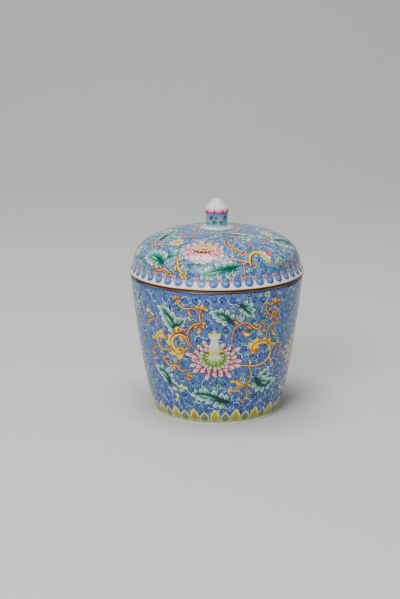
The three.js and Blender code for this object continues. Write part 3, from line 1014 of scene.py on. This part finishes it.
def paintLappets(brush, wall):
    # The border above the foot: pointed yellow petals with smaller green ones between them, on a green band.
    step = wall.width / jar["lappets"]
    tall = wall.canvasHeight(11.4)
    side = wall.width / 2 + step
    brush.fill([(-side, 0.2), (side, 0.2), (side, 4.4), (-side, 4.4)], "cream", "moss", (0, 0), (0, 3))
    rows = ((0.5, 0.8, 7.2, "cream", ("inkGreen", "moss", "reed")),
            (0.0, 1.0, 7.8, "cream", ("ink", "reed", "straw")))
    for shift, share, width, rim, (line, root, tip) in rows:
        for k in range(jar["lappets"]):
            placed = brush.at((-1.4 + (k + shift - jar["lappets"] // 2) * step, 0.5))
            outer = lobe(tall * share, width, widest=0.36, count=10)
            inner = lobe(tall * share * 0.9, width * 0.8, widest=0.36, count=10)
            placed.fill(outer[5:-5], line, grow=0.3)
            placed.fill(outer, "moss", rim, (0, tall * 0.1), (0, tall * share * 0.5))
            placed.fill(inner, root, tip, (0, tall * 0.08), (0, tall * share * 0.4))
            for lean in (-1, 0, 1):
                end = tall * share * (0.66 + 0.1 * (lean == 0))
                points = [(lean * 0.5, 1.6), (lean * width * 0.24, tall * share * 0.36), (lean * 0.3, end)]
                vein = blade(throughPoints(points, 7), 0.66, 0.5)
                placed.fill(vein, "inkGreen" if shift else "rust", "olive", (0, 1.6), (0, tall * share * 0.7))


def makeJar():
    # The painted wall, and the plain stretches that close the piece.
    outside = jarWall()
    rimBase = jar["height"] - jar["bareRim"]
    paintedPart = outside[outside[:, 1] < rimBase]
    turn = np.array([np.interp(rimBase, outside[:, 1], outside[:, 0]), rimBase])
    paintedPart = np.vstack([paintedPart, turn])
    rimPart = np.vstack([turn, outside[outside[:, 1] > rimBase][::4], outside[-1]])
    wall = PaintedWall(paintedPart, jar["canvasReference"], grid=1.8)

    shapes = []
    brush = Brush(shapes)
    paintLappets(brush, wall)
    # A dark band along the top of the painted wall, under the bare rim: the enamel's dark edge and painted
    # shade under the lid's lip.
    around = wall.width / 2
    low, high = wall.height - 0.5, wall.height + 1
    brush.fill([(-around, low), (around, low), (around, high), (-around, high)], "ink")
    for x, y, left, right in jar["lotuses"]:
        spot = brush.at((x, y))
        if left:
            paintLeftSide(spot)
        if right:
            paintRightSide(spot)
        paintCentre(spot)
    curls = curlField(wall, shapes, jar, wall.canvasHeight(7.5), wall.height - 0.4)
    print("jar canvas holds", len(shapes), "shapes and", len(curls), "more in the curls")

    skin = Skin()
    scale = 0.98 / wall.width
    # The bare ground fades from its own blue at the foot to a paler blue at the rim: painted sheen of the
    # light on the upper wall.
    wall.paintOn(skin, curls + shapes, ("ground", "groundSheen"), painted,
                 lambda spots: 0.01 + (spots + [wall.width / 2, 0]) * scale)
    free = 0.02 + wall.height * scale

    floorTop = jar["footRecess"] + jar["floorThickness"]
    ringInside = jar["footBandRadius"] - jar["footRingWidth"]
    hollow = outside - profileNormals(outside) * jar["wall"]
    mouthInside = hollow[-1, 0]
    corner = np.array([np.interp(floorTop + jar["floorCorner"], hollow[:, 1], hollow[:, 0]),
                       floorTop + jar["floorCorner"]])
    inner = hollow[(hollow[:, 1] > corner[1] + 0.5) & (hollow[:, 1] < rimBase)][::-6]
    bandTop = jar["footBandHeight"] - jar["footBandProud"] / 2
    rim, height, r = jar["rimRounding"], jar["height"], jar["mouthRadius"]
    stretches = (
        (rimPart, "metal", bare),
        (np.vstack([rounding((r, height - rim), (r, height), (r - rim, height)),
                    rounding((mouthInside + rim, height), (mouthInside, height), (mouthInside, height - rim)),
                    [(mouthInside, rimBase)]]), "metal", bare),
        (np.vstack([(mouthInside, rimBase), inner, corner]), "lining", plain),
        (rounding(corner, (corner[0] + 0.2, floorTop), (corner[0] - jar["floorCorner"], floorTop)), "lining",
         plain),
        (np.column_stack([np.linspace(corner[0] - jar["floorCorner"], 0, 14), np.full(14, floorTop)]),
         "lining", plain),
        (np.column_stack([np.linspace(0, ringInside, 12), np.full(12, jar["footRecess"])]), "white", plain),
        ([(ringInside, jar["footRecess"]), (ringInside, jar["footRecess"] / 2), (ringInside, 0.3),
          (ringInside + 0.3, 0)], "white", plain),
        ([(ringInside + 0.3, 0), (jar["footBandRadius"] - 0.3, 0)], "metal", bare),
        ([(jar["footBandRadius"] - 0.3, 0), (jar["footBandRadius"], 0.3), (jar["footBandRadius"], 1.0)],
         "white", plain),
        ([(jar["footBandRadius"], 1.0), (jar["footBandRadius"], bandTop), paintedPart[0]], "footBand", plain),
    )
    for profile, colour, finish in stretches:
        free = skin.strip(profile, paint[colour], finish, free, scale * 0.75)
    return skin.build("jar_enamel", [enamel, plainEnamel, copper])


jarPiece = makeJar()
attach(jarPiece, "root")
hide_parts("jar")


# Lid

lidHigh = nodeBox("lid")[1]
restGap = 0.3  # clearance where one piece rests on another
lid = dict(
    lipRadius=lidHigh[0], crown=lidHigh[2], seat=jarHigh[2] + restGap, lipEdge=1.1, lipRise=6.5, lipFlare=2.2,
    bareEdge=0.7,
    domeRadius=57.4, domeSpring=3.9, domeHeight=25.9, domeExponent=2.5, crownRadius=11.9, wall=1.8,
    flangeDepth=5.0, flangeWall=1.4, flangeClearance=0.5, flangeSolder=0.5,
    canvasReference=40.0, heads=46, headRing=71.2, curlSpacing=5.1, curlSize=0.78, seed=23,
    curlSpots=("heads", "lidGroundLit", "tile", "heads"),
)


def domeOutline(radius, height):
    # From the widest level to the crown: a superellipse.
    exponent = 2 / lid["domeExponent"]
    turn = np.linspace(0, math.acos((lid["crownRadius"] / radius) ** (1 / exponent)), 120)
    return np.column_stack([radius * np.cos(turn) ** exponent,
                            lid["seat"] + lid["domeSpring"] + height * np.sin(turn) ** exponent])


def lipOutline(inset):
    # The lip's line, from its edge up to the dome's side, moved in by an inset.
    edge = np.array([lid["lipRadius"] - inset, lid["seat"] + lid["lipEdge"]])
    side = np.array([lid["domeRadius"] - inset, lid["seat"] + lid["lipRise"]])
    return cubic(edge, edge + [0, lid["lipEdge"] / 2], side - [0, lid["lipFlare"]], side, 26)


def polar(angle, distance):
    # A spot on the lid's canvas: degrees from the front and the distance from the middle.
    return distance * math.sin(math.radians(angle)), -distance * math.cos(math.radians(angle))


def polarLine(*spots):
    # Such spots in a row.
    return [polar(angle, distance) for angle, distance in spots]


def paintLidFront(brush):
    # The lid's front half: the open lotus and what lies round it.
    red = ("plum", "cherry", "blush")
    paintVine(brush, polarLine((-12, 56), (-20, 58), (-14, 62), (-4, 66.5)), volute=30)
    paintVine(brush, polarLine((28, 44), (36, 46), (44, 44), (50, 47)), volute=-40)
    paintVine(brush, polarLine((4, 30), (-8, 27), (-22, 30)), volute=44)
    paintVine(brush, polarLine((56, 60), (64, 62), (70, 58)), volute=40)
    paintVine(brush, polarLine((-64, 60), (-70, 58), (-72, 52)), volute=44)
    paintLeaf(brush, polarLine((-42, 57), (-38, 53), (-34, 50.6), (-31, 49.4)), 5.0, 2, 56, 1.5)
    paintLeaf(brush, polarLine((-39, 59.5), (-46, 56), (-52, 55), (-58, 56)), 6.6, 4, 60, 1.5)
    paintLeaf(brush, polarLine((16, 58.2), (8, 59.6), (0, 61.0), (-6, 62.8), (-11, 64.4)), 5.8, 5, 62, 1.2)
    paintLeaf(brush, polarLine((-66, 42), (-73, 36), (-80, 31), (-88, 28.5)), 5.2, 4, 46)
    paintLeaf(brush, polarLine((18, 20.6), (32, 22.4), (44, 26), (54, 28.6)), 4.8, 4, 46)
    paintLeaf(brush, polarLine((90, 53.8), (83, 49), (75, 44.8), (70, 41.2)), 7.4, 4, 58)
    paintScroll(brush, polarLine((-31, 52.6), (-29, 56.5), (-27, 61), (-22.5, 65)), (1.6, 1.9),
                hooks=((0.15, 1, 5.0, 2.2, 24), (0.45, -1, 4.4, 2.0, -24), (0.72, 1, 5.2, 2.2, 20),
                       (0.85, -1, 4.4, 2.0, -24)), end=0.8, tones=goldTones)
    paintScroll(brush, polarLine((-50, 65), (-46, 63.4), (-42, 65), (-37, 62.8), (-33, 65.6)), (1.3, 1.5),
                hooks=((0.2, 1, 4.2, 1.8, 26), (0.4, -1, 3.6, 1.6, -26), (0.62, 1, 4.4, 1.9, 24),
                       (0.85, -1, 3.6, 1.6, -26)), end=0.6)
    paintScroll(brush, polarLine((-78, 47.5), (-71, 44.6), (-64, 47), (-57, 44.2)), (1.3, 1.6),
                hooks=((0.3, 1, 4.4, 1.9, 26), (0.6, -1, 4.0, 1.8, -26), (0.8, 1, 4.0, 1.8, 26)), end=0.7,
                tones=red)
    paintScroll(brush, polarLine((18, 28.5), (12, 33), (13, 38.5), (17, 43), (22, 47.5)), (1.3, 1.7),
                hooks=((0.25, -1, 4.4, 1.9, -26), (0.45, 1, 4.8, 2.0, 24), (0.7, -1, 4.6, 2.0, -22)), end=0.8)
    paintScroll(brush, polarLine((9, 26.5), (16, 22.5), (28, 23.5), (24, 29)), (0.9, 1.1), volute=50,
                tones=("plum", "orchid", "blush"))
    paintScroll(brush, polarLine((9, 52), (16, 53.6), (22, 55.6), (27, 58.4)), (1.5, 2.2),
                hooks=((0.1, 1, 4.2, 1.8, 26), (0.4, -1, 4.6, 2.0, -24), (0.7, 1, 4.8, 2.2, 20)), end=0.6,
                tones=lotusTones)
    paintScroll(brush, polarLine((18.4, 56), (18.8, 60), (18, 65.6)), (1.1, 1.3),
                hooks=((0.7, 1, 3.4, 1.5, 26),), end=0.6, tones=("plum", "orchid", "petal"))
    arch = polarLine((24.6, 58.6), (25, 53.6), (28.4, 49.4), (33, 48.2), (37, 50.2), (38.8, 54.6), (39, 59))
    paintRuffle(brush, throughPoints(arch, 50)[26:], 5.0, 4, ("ink", "straw", "white"))
    paintRuffle(brush, throughPoints(arch, 50)[:26:-1], 3.2, 4, ("olive", "butter", "white"))
    paintScroll(brush, arch, (3.0, 1.2), tones=goldTones)
    for angle, distance, size in ((34, 39.5, 2.6), (54, 40.2, 2.8), (44, 51.2, 3.0)):
        paintFlower(brush.at(polar(angle, distance), angle), size, 5, red, "gold")
    for angle, distance, size in ((-52, 27.5, 3.2), (-34, 26.4, 2.6), (77, 62.1, 3.0), (62, 62, 2.4),
                                  (52, 61.5, 2.2)):
        paintFlower(brush.at(polar(angle, distance), angle), size, 7, amberTones, "cherry")
    for angle, distance, size in ((-44, 38, 4.9), (82, 34.4, 4.6), (-80, 57, 5.0)):
        paintFlower(brush.at(polar(angle, distance), angle), size, 11, ("olive", "straw", "cream"), "gold")
    sprouts = ((-58, 33, 20), (-3, 24.5, 60), (36, 33, -20), (62, 34, 150), (66, 52, 40), (50, 56, 200),
               (-66, 64, 10))
    for angle, distance, heading in sprouts:
        paintHook(brush.at(polar(angle, distance), angle), heading, 4.8, 1.9, 26, freshTones)
        paintHook(brush.at(polar(angle, distance), angle), heading + 150, 3.4, 1.5, -26, freshTones)
    spot = brush.at(polar(-12, 43.6), -12)
    for x in (-7.6, -3, 2.4, 7.4):
        placed = spot.at((x, -8.6 + abs(x) * 0.28), 180 - x * 5)
        placed.outlined([lobe(5.0, 4.8, widest=0.55)], "plum", 0.3)
        placed.fill(lobe(5.0, 4.8, widest=0.55), "blush", "white", (0, 0.6), (0, 3.4))
    paintOpenLotus(spot)


def paintRuyiBorder(brush, reach):
    # The border round the lip: round blue heads that hang into a white band, with pink forks between them,
    # and a thin gold edge. 'reach' is the canvas's radius.
    step, ring = 360 / lid["heads"], lid["headRing"]
    angles = np.linspace(0, 2 * math.pi, 120, endpoint=False)
    circle = np.column_stack([np.cos(angles), np.sin(angles)])
    brush.fill(circle * (reach - 0.55), "white")
    # The lid's blue ground: its own blue, made paler than the jar's as painted light from above on the dome.
    brush.fill(circle * (ring - 2.6), "lidGroundLit")
    for k in range(lid["heads"]):
        turn = -2 + k * step
        placed = brush.at(polar(turn, ring), turn)
        neck = np.array([(-2.2, 4.4), (-2.4, 1.5), (2.4, 1.5), (2.2, 4.4)])
        head = circle[::8] * [3.5, 3.3]
        placed.fill(head, "ink", grow=0.3)
        placed.fill(head, "lidGroundLit")
        placed.fill(neck, "lidGroundLit")
        placed.fill(circle[::10] * [2.5, 2.2] + [0.1, -0.4], "ink")
        placed.fill(circle[::10] * [2.4, 2.1] + [-0.25, 0.05], "heads", "lidGroundLit", (0, -2.4), (0, 1.6))
        placed.fill(circle[::20] * [0.8, 0.6] + [-0.7, 0.5], "tile")
        between = brush.at(polar(turn + step / 2, ring), turn + step / 2)
        between.fill([(-1.5, -1.8), (1.5, -1.8), (0.9, 1.8), (0.7, 4.6), (-0.7, 4.6), (-0.9, 1.8)],
                     "white", "lilac", (0, 0), (0, 4))
        for side in (-1, 1):
            paintHook(between.at((side * 0.3, 2.4)), 90 - side * 42, 3.4, 1.3, side * 24,
                      ("plum", "orchid", "petal"))
        between.fill(lobe(3.2, 0.9, count=5) + [0, 0.4], "rose", "orchid", (0, 0.6), (0, 3))


def paintCrownRing(brush):
    # Orange scroll heads round the foot of the knob.
    for k in range(14):
        turn = k * 360 / 14 + 6
        placed = brush.at(polar(turn, 14.4), turn)
        paintHook(placed.at((-0.2, 1.4)), 210, 3.6, 1.6, 26, amberTones)
        paintHook(placed.at((0.2, 1.4)), -30, 3.6, 1.6, -26, ("rust", "amber", "butter"))
        paintFlower(placed.at((0, -0.6)), 1.5, 5, goldTones, "cherry")


def makeLid():
    # The painted dome with its lip, and the plain stretches that close the piece.
    lip = lipOutline(0)
    dome = domeOutline(lid["domeRadius"], lid["domeHeight"])
    edge = np.array([lid["lipRadius"], lid["seat"] + lid["bareEdge"]])
    outside = np.vstack([edge, lip, dome[dome[:, 1] > lip[-1, 1] + 0.9]])
    wall = PaintedWall(outside, lid["canvasReference"], isRound=True)

    shapes = []
    brush = Brush(shapes)
    paintRuyiBorder(brush, wall.outerRadius)
    border = len(shapes)
    paintCrownRing(brush)
    paintLidFront(brush)
    paintLidFront(brush.at((0, 0), 180))
    curls = curlField(wall, shapes[border:], lid, 18.5, lid["headRing"] - 3.4)
    print("lid canvas holds", len(shapes), "shapes and", len(curls), "more in the curls")

    skin = Skin()
    reach = wall.outerRadius
    scale = 0.8 / (2 * reach)
    shapes[2:2] = curls
    wall.paintOn(skin, shapes, ("edgeGold", "edgeGold"), painted,
                 lambda spots: 0.01 + (spots + reach) * scale)

    sideTop, hollowRadius, crown = lid["seat"] + lid["lipRise"], lid["domeRadius"] - lid["wall"], lid["crown"]
    hollowTop = crown - lid["wall"]
    flangeFoot = jar["height"] - lid["flangeDepth"]
    jarHollow = jarWall() - profileNormals(jarWall()) * jar["wall"]
    flangeOutside = np.interp(flangeFoot, jarHollow[:, 1], jarHollow[:, 0]) - lid["flangeClearance"]
    flangeInside = flangeOutside - lid["flangeWall"]
    lipInside = np.vstack([(lid["lipRadius"] - lid["wall"], lid["seat"] + 0.3), lipOutline(lid["wall"])])
    seam = max(flangeOutside + lid["flangeSolder"], hollowRadius)
    pocketTop = min(np.interp(-seam, -lipInside[:, 0], lipInside[:, 1]), sideTop - lid["flangeWall"])
    seamRadius = np.interp(pocketTop, lipInside[:, 1], lipInside[:, 0])
    inner = domeOutline(hollowRadius, lid["domeHeight"] - lid["wall"])
    inner = inner[(inner[:, 1] > sideTop + 0.9) & (inner[:, 1] < hollowTop - 0.05)][::-3]
    pocket = lipInside[lipInside[:, 1] < pocketTop - 0.1][::-1]
    stretches = (
        ([outside[-1], (lid["crownRadius"] / 2, crown), (0, crown)], "tile", plain),
        (np.column_stack([np.linspace(0, inner[0, 0] - 0.5, 8), np.full(8, hollowTop)]), "lining", plain),
        (np.vstack([(inner[0, 0] - 0.5, hollowTop), inner, (hollowRadius, sideTop)]), "lining", plain),
        ([(hollowRadius, sideTop), (flangeInside, sideTop)], "lining", plain),
        ([(flangeInside, sideTop), (flangeInside, flangeFoot + 0.4)], "lining", plain),
        (rounding((flangeInside, flangeFoot + 0.4), (flangeInside, flangeFoot),
                  (flangeInside + 0.4, flangeFoot)), "metal", bare),
        ([(flangeInside + 0.4, flangeFoot), (flangeOutside - 0.4, flangeFoot)], "metal", bare),
        (rounding((flangeOutside - 0.4, flangeFoot), (flangeOutside, flangeFoot),
                  (flangeOutside, flangeFoot + 0.4)), "metal", bare),
        ([(flangeOutside, flangeFoot + 0.4), (flangeOutside, pocketTop)], "metal", bare),
        ([(flangeOutside, pocketTop), (seamRadius, pocketTop)], "metal", bare),
        (np.vstack([(seamRadius, pocketTop), pocket]), "lining", plain),
        (np.vstack([rounding(lipInside[0], (lipInside[0, 0], lid["seat"]),
                             (lipInside[0, 0] + 0.3, lid["seat"])),
                    rounding((lid["lipRadius"] - 0.4, lid["seat"]), (lid["lipRadius"], lid["seat"]),
                             (lid["lipRadius"], lid["seat"] + 0.4)),
                    edge]), "metal", bare),
    )
    free = 0.83
    for profile, colour, finish in stretches:
        free = skin.strip(profile, paint[colour], finish, free, 0.0008)
    return skin.build("lid_enamel", [enamel, plainEnamel, gapShadeCopper])


lidPiece = makeLid()
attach(lidPiece, "root")
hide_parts("lid")


# Knob

knobLow, knobHigh = nodeBox("lotus_bud_knob")
knob = dict(
    bottom=knobLow[2], footRadius=knobHigh[0], footHeight=2.4, footEdge=0.4, stemFootRadius=7.0,
    stemTopRadius=7.7, stemHeight=8.2,
    budRadius=8.05, budHeight=9.0, bellyHeight=1.3, tipRadius=2.7, tipDimple=0.7,
    shoulderRise=0.2, shoulderReach=0.5, tipSlope=0.62,
    # the bud's outline, as shares of the way from belly to tip
    petals=8, petalTurn=11.25, grooveDepth=0.55, grooveShare=0.34,
    canvasReference=7.5,
)


def petalGrooves(angle, radius, height):
    # What the grooves between the petals leave of the radius: they deepen from the bud's base to its belly.
    petal = 2 * math.pi / knob["petals"]
    turn = np.mod(angle - math.radians(knob["petalTurn"]) + petal / 2, petal)
    near = np.minimum(turn, petal - turn) / (petal * knob["grooveShare"])
    groove = np.where(near < 1, (1 - np.minimum(near, 1)) ** 2, 0)
    budFoot = knob["bottom"] + knob["footHeight"] + knob["stemHeight"]
    depth = knob["grooveDepth"] * np.clip((height - budFoot) / knob["bellyHeight"], 0, 1)
    return 1 - depth * groove / np.maximum(radius, knob["tipRadius"])


def knobOutline():
    # From the foot's edge up the stem and over the bud to its tip.
    foot, stem = knob["footHeight"], knob["footHeight"] + knob["stemHeight"]
    spread = cubic((knob["footRadius"], knob["footEdge"]),
                   (knob["stemFootRadius"] + foot / 4, knob["footEdge"]), (knob["stemFootRadius"], foot / 2),
                   (knob["stemFootRadius"], foot), 30)
    belly = np.array([knob["budRadius"], stem + knob["bellyHeight"]])
    tip = np.array([knob["tipRadius"], stem + knob["budHeight"]])
    column = np.column_stack([np.linspace(knob["stemFootRadius"], knob["stemTopRadius"], 16),
                              np.linspace(foot, stem, 16)])
    underside = rounding((knob["stemTopRadius"], stem), (knob["budRadius"], stem), belly, 12)
    shoulder = cubic(belly, (belly[0], belly[1] + (tip[1] - belly[1]) * knob["shoulderRise"]),
                     belly + (tip - belly) * [knob["shoulderReach"], knob["tipSlope"]], tip, 40)
    outline = np.vstack([spread, column[1:], underside[1:], shoulder[1:]])
    return outline + [0, knob["bottom"]]


def paintKnob(brush, wall):
    # A pale foot, a blue stem with a green scroll, and the bud: pink at its base with dark lines between
    # petals.
    side = wall.width / 2 + 1
    foot, fade, stem, belly, blushTop, tip = (wall.canvasHeight(knob["bottom"] + h)
                                              for h in (1.3, 2.6, 10.7, 12.0, 14.4, 19.4))

    def level(low, high, colours):
        # A band between two levels that shades upwards.
        brush.fill([(-side, low), (side, low), (side, high), (-side, high)], *colours, (0, low), (0, high))

    level(0.05, foot, ("tile", "frost"))
    level(foot, fade + 0.1, ("frost", "stem"))
    level(fade, stem, ("stem", "stemTop"))
    level(stem - 0.1, belly, ("rose", "orchid"))
    level(belly - 0.05, blushTop, ("orchid", "budWhite"))
    period = wall.width / knob["petals"]
    turned = math.radians(knob["petalTurn"]) * knob["canvasReference"]
    grooves = (np.arange(knob["petals"]) - knob["petals"] / 2 + 0.5) * period + turned
    for x in grooves:
        groove = np.array([(x, stem + 0.1), (x, (belly + tip) / 2), (x, tip)])
        brush.fill(band(groove, (0.34, 0.3, 0.4)), "plum", "shade", (0, stem), (0, blushTop))
        brush.fill(lobe(blushTop - stem, 1.3, widest=0.3) + [x, stem - 0.05], "plum", "orchid",
                   (0, stem + 0.5), (0, blushTop - 0.8))
        for lean in (-0.9, 0.9):
            points = [(x + lean * 2.0, belly), (x + lean * 1.6, (belly + tip) / 2), (x + lean * 1.5, tip - 1)]
            brush.fill(blade(throughPoints(points, 6), 0.18), "lilac")
        brush.fill(lobe(2.6, 1.2, widest=0.3) @ np.diag([1, -1]) + [x, tip + 0.05], "olive", "shade",
                   (0, tip), (0, tip - 2.4))
    for k in range(18):
        x = (k - 9) * wall.width / 18 + 0.6
        spot = brush.at((x, fade + (stem - fade) * (0.42 + (0.18 if k % 2 else -0.12))))
        paintCurl(spot.at((0, 0), 40 + 150 * (k % 2), 0.8, k % 4 > 1), 1.0, (0, 3, 1, 0)[k % 4],
                  jar["curlSpots"])
        paintSprig(spot.at((0.9, 0.9), 200 + 110 * (k % 3)), 0.8, k % 4)
        paintSprig(spot.at((-0.6, -1.2), 20 + 70 * (k % 3)), 0.7, (k + 1) % 3)


def makeKnob():
    # The painted stem and bud, and the plain stretches that close the piece.
    outline = knobOutline()
    wall = PaintedWall(outline, knob["canvasReference"], carve=petalGrooves)
    shapes = []
    paintKnob(Brush(shapes), wall)
    skin = Skin()
    scale = 0.98 / wall.width
    wall.paintOn(skin, shapes, ("budWhite", "budWhite"), painted,
                 lambda spots: 0.01 + (spots + [wall.width / 2, 0]) * scale)
    low, edge, top = knob["bottom"], outline[0], outline[-1]
    free = 0.02 + wall.height * scale
    stretches = (
        ([top, (top[0] * 0.6, top[1] - knob["tipDimple"] * 0.7), (0, top[1] - knob["tipDimple"])], "budWhite",
         petalGrooves),
        ([(0, low), (edge[0] / 2, low), (edge[0] - 0.2, low)], "tile", None),
        ([(edge[0] - 0.2, low), (edge[0], low + 0.2), edge], "tile", None),
    )
    for profile, colour, carve in stretches:
        free = skin.strip(profile, paint[colour], plain, free, scale * 0.4, carve)
    return skin.build("knob_enamel", [enamel, plainEnamel])


knobPiece = makeKnob()
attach(knobPiece, "root")
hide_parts("lotus_bud_knob")


# Scene

studio = dict(
    floor=linear(214, 214, 212), world=(0.9, 0.93, 1, 1), worldStrength=0.16, target=(0, 0, 0.07),
    lights=dict(  # place, size and watts
        key=((-0.55, -1.2, 1.1), (0.7, 0.7), 18),
        fill=((1.2, -0.9, 0.6), (0.8, 1.2), 0.6),
        top=((-0.1, -0.1, 1.6), (1.0, 0.7), 22),
    ),
)


def makeFloor():
    # A plain pale floor that rises behind the jar in one sweep.
    turn = np.linspace(0.1, math.pi / 2, 14)
    depth = np.concatenate([[-3.0, -1.0, 0.0, 0.8], 0.8 + 0.9 * np.sin(turn), [1.7]])
    rise = np.concatenate([[0, 0, 0, 0], 0.9 * (1 - np.cos(turn)), [3.5]])
    count = len(depth)
    points = [(side * 4, y, z) for y, z in zip(depth, rise) for side in (-1, 1)]
    faces = [(2 * k, 2 * k + 1, 2 * k + 3, 2 * k + 2) for k in range(count - 1)]
    mesh = bpy.data.meshes.new("floor")
    mesh.from_pydata(points, [], faces)
    mesh.polygons.foreach_set("use_smooth", [True] * len(faces))
    nodes = Nodes("floor")
    mist = nodes.noise(2.0)
    inputs = {"Base Color": (*studio["floor"], 1), "Roughness": 0.7 + 0.1 * mist}
    mesh.materials.append(nodes.surface(inputs, mist, 0.05, 0.001))
    floor = bpy.data.objects.new("floor", mesh)
    bpy.context.scene.collection.objects.link(floor)


def makeLight(name, place, size, power):
    # A soft panel that faces the jar.
    lamp = bpy.data.lights.new(name, "AREA")
    lamp.shape, lamp.size, lamp.size_y, lamp.energy = "RECTANGLE", *size, power
    panel = bpy.data.objects.new(name, lamp)
    away = np.array(place) - studio["target"]
    panel.location = place
    tilt = math.acos(away[2] / np.linalg.norm(away))
    panel.rotation_euler = (tilt, 0, math.atan2(away[1], away[0]) + math.pi / 2)
    bpy.context.scene.collection.objects.link(panel)


camera = dict(distance=1.0, elevation=14.75, lookHeight=0.0761, focalPixels=1445, axisRight=16.7,
              frameTall=599)


def makeCamera():
    # The photograph's view: its distance, height and focal length, with the jar a little right of the middle.
    lens = bpy.data.cameras.new("camera")
    lens.sensor_width = 36
    lens.lens = lens.sensor_width * camera["focalPixels"] / camera["frameTall"]
    lens.shift_x = -camera["axisRight"] / camera["frameTall"]
    view = bpy.data.objects.new("camera", lens)
    up = math.radians(camera["elevation"])
    view.location = (0, -camera["distance"] * math.cos(up),
                     camera["lookHeight"] + camera["distance"] * math.sin(up))
    view.rotation_euler = (math.pi / 2 - up, 0, 0)
    bpy.context.scene.collection.objects.link(view)
    bpy.context.scene.camera = view


makeFloor()
makeCamera()
for lightName, light in studio["lights"].items():
    makeLight(lightName, *light)
world = bpy.data.worlds.new("studio")
world.use_nodes = True
world.node_tree.nodes["Background"].inputs["Color"].default_value = studio["world"]
world.node_tree.nodes["Background"].inputs["Strength"].default_value = studio["worldStrength"]
bpy.context.scene.world = world
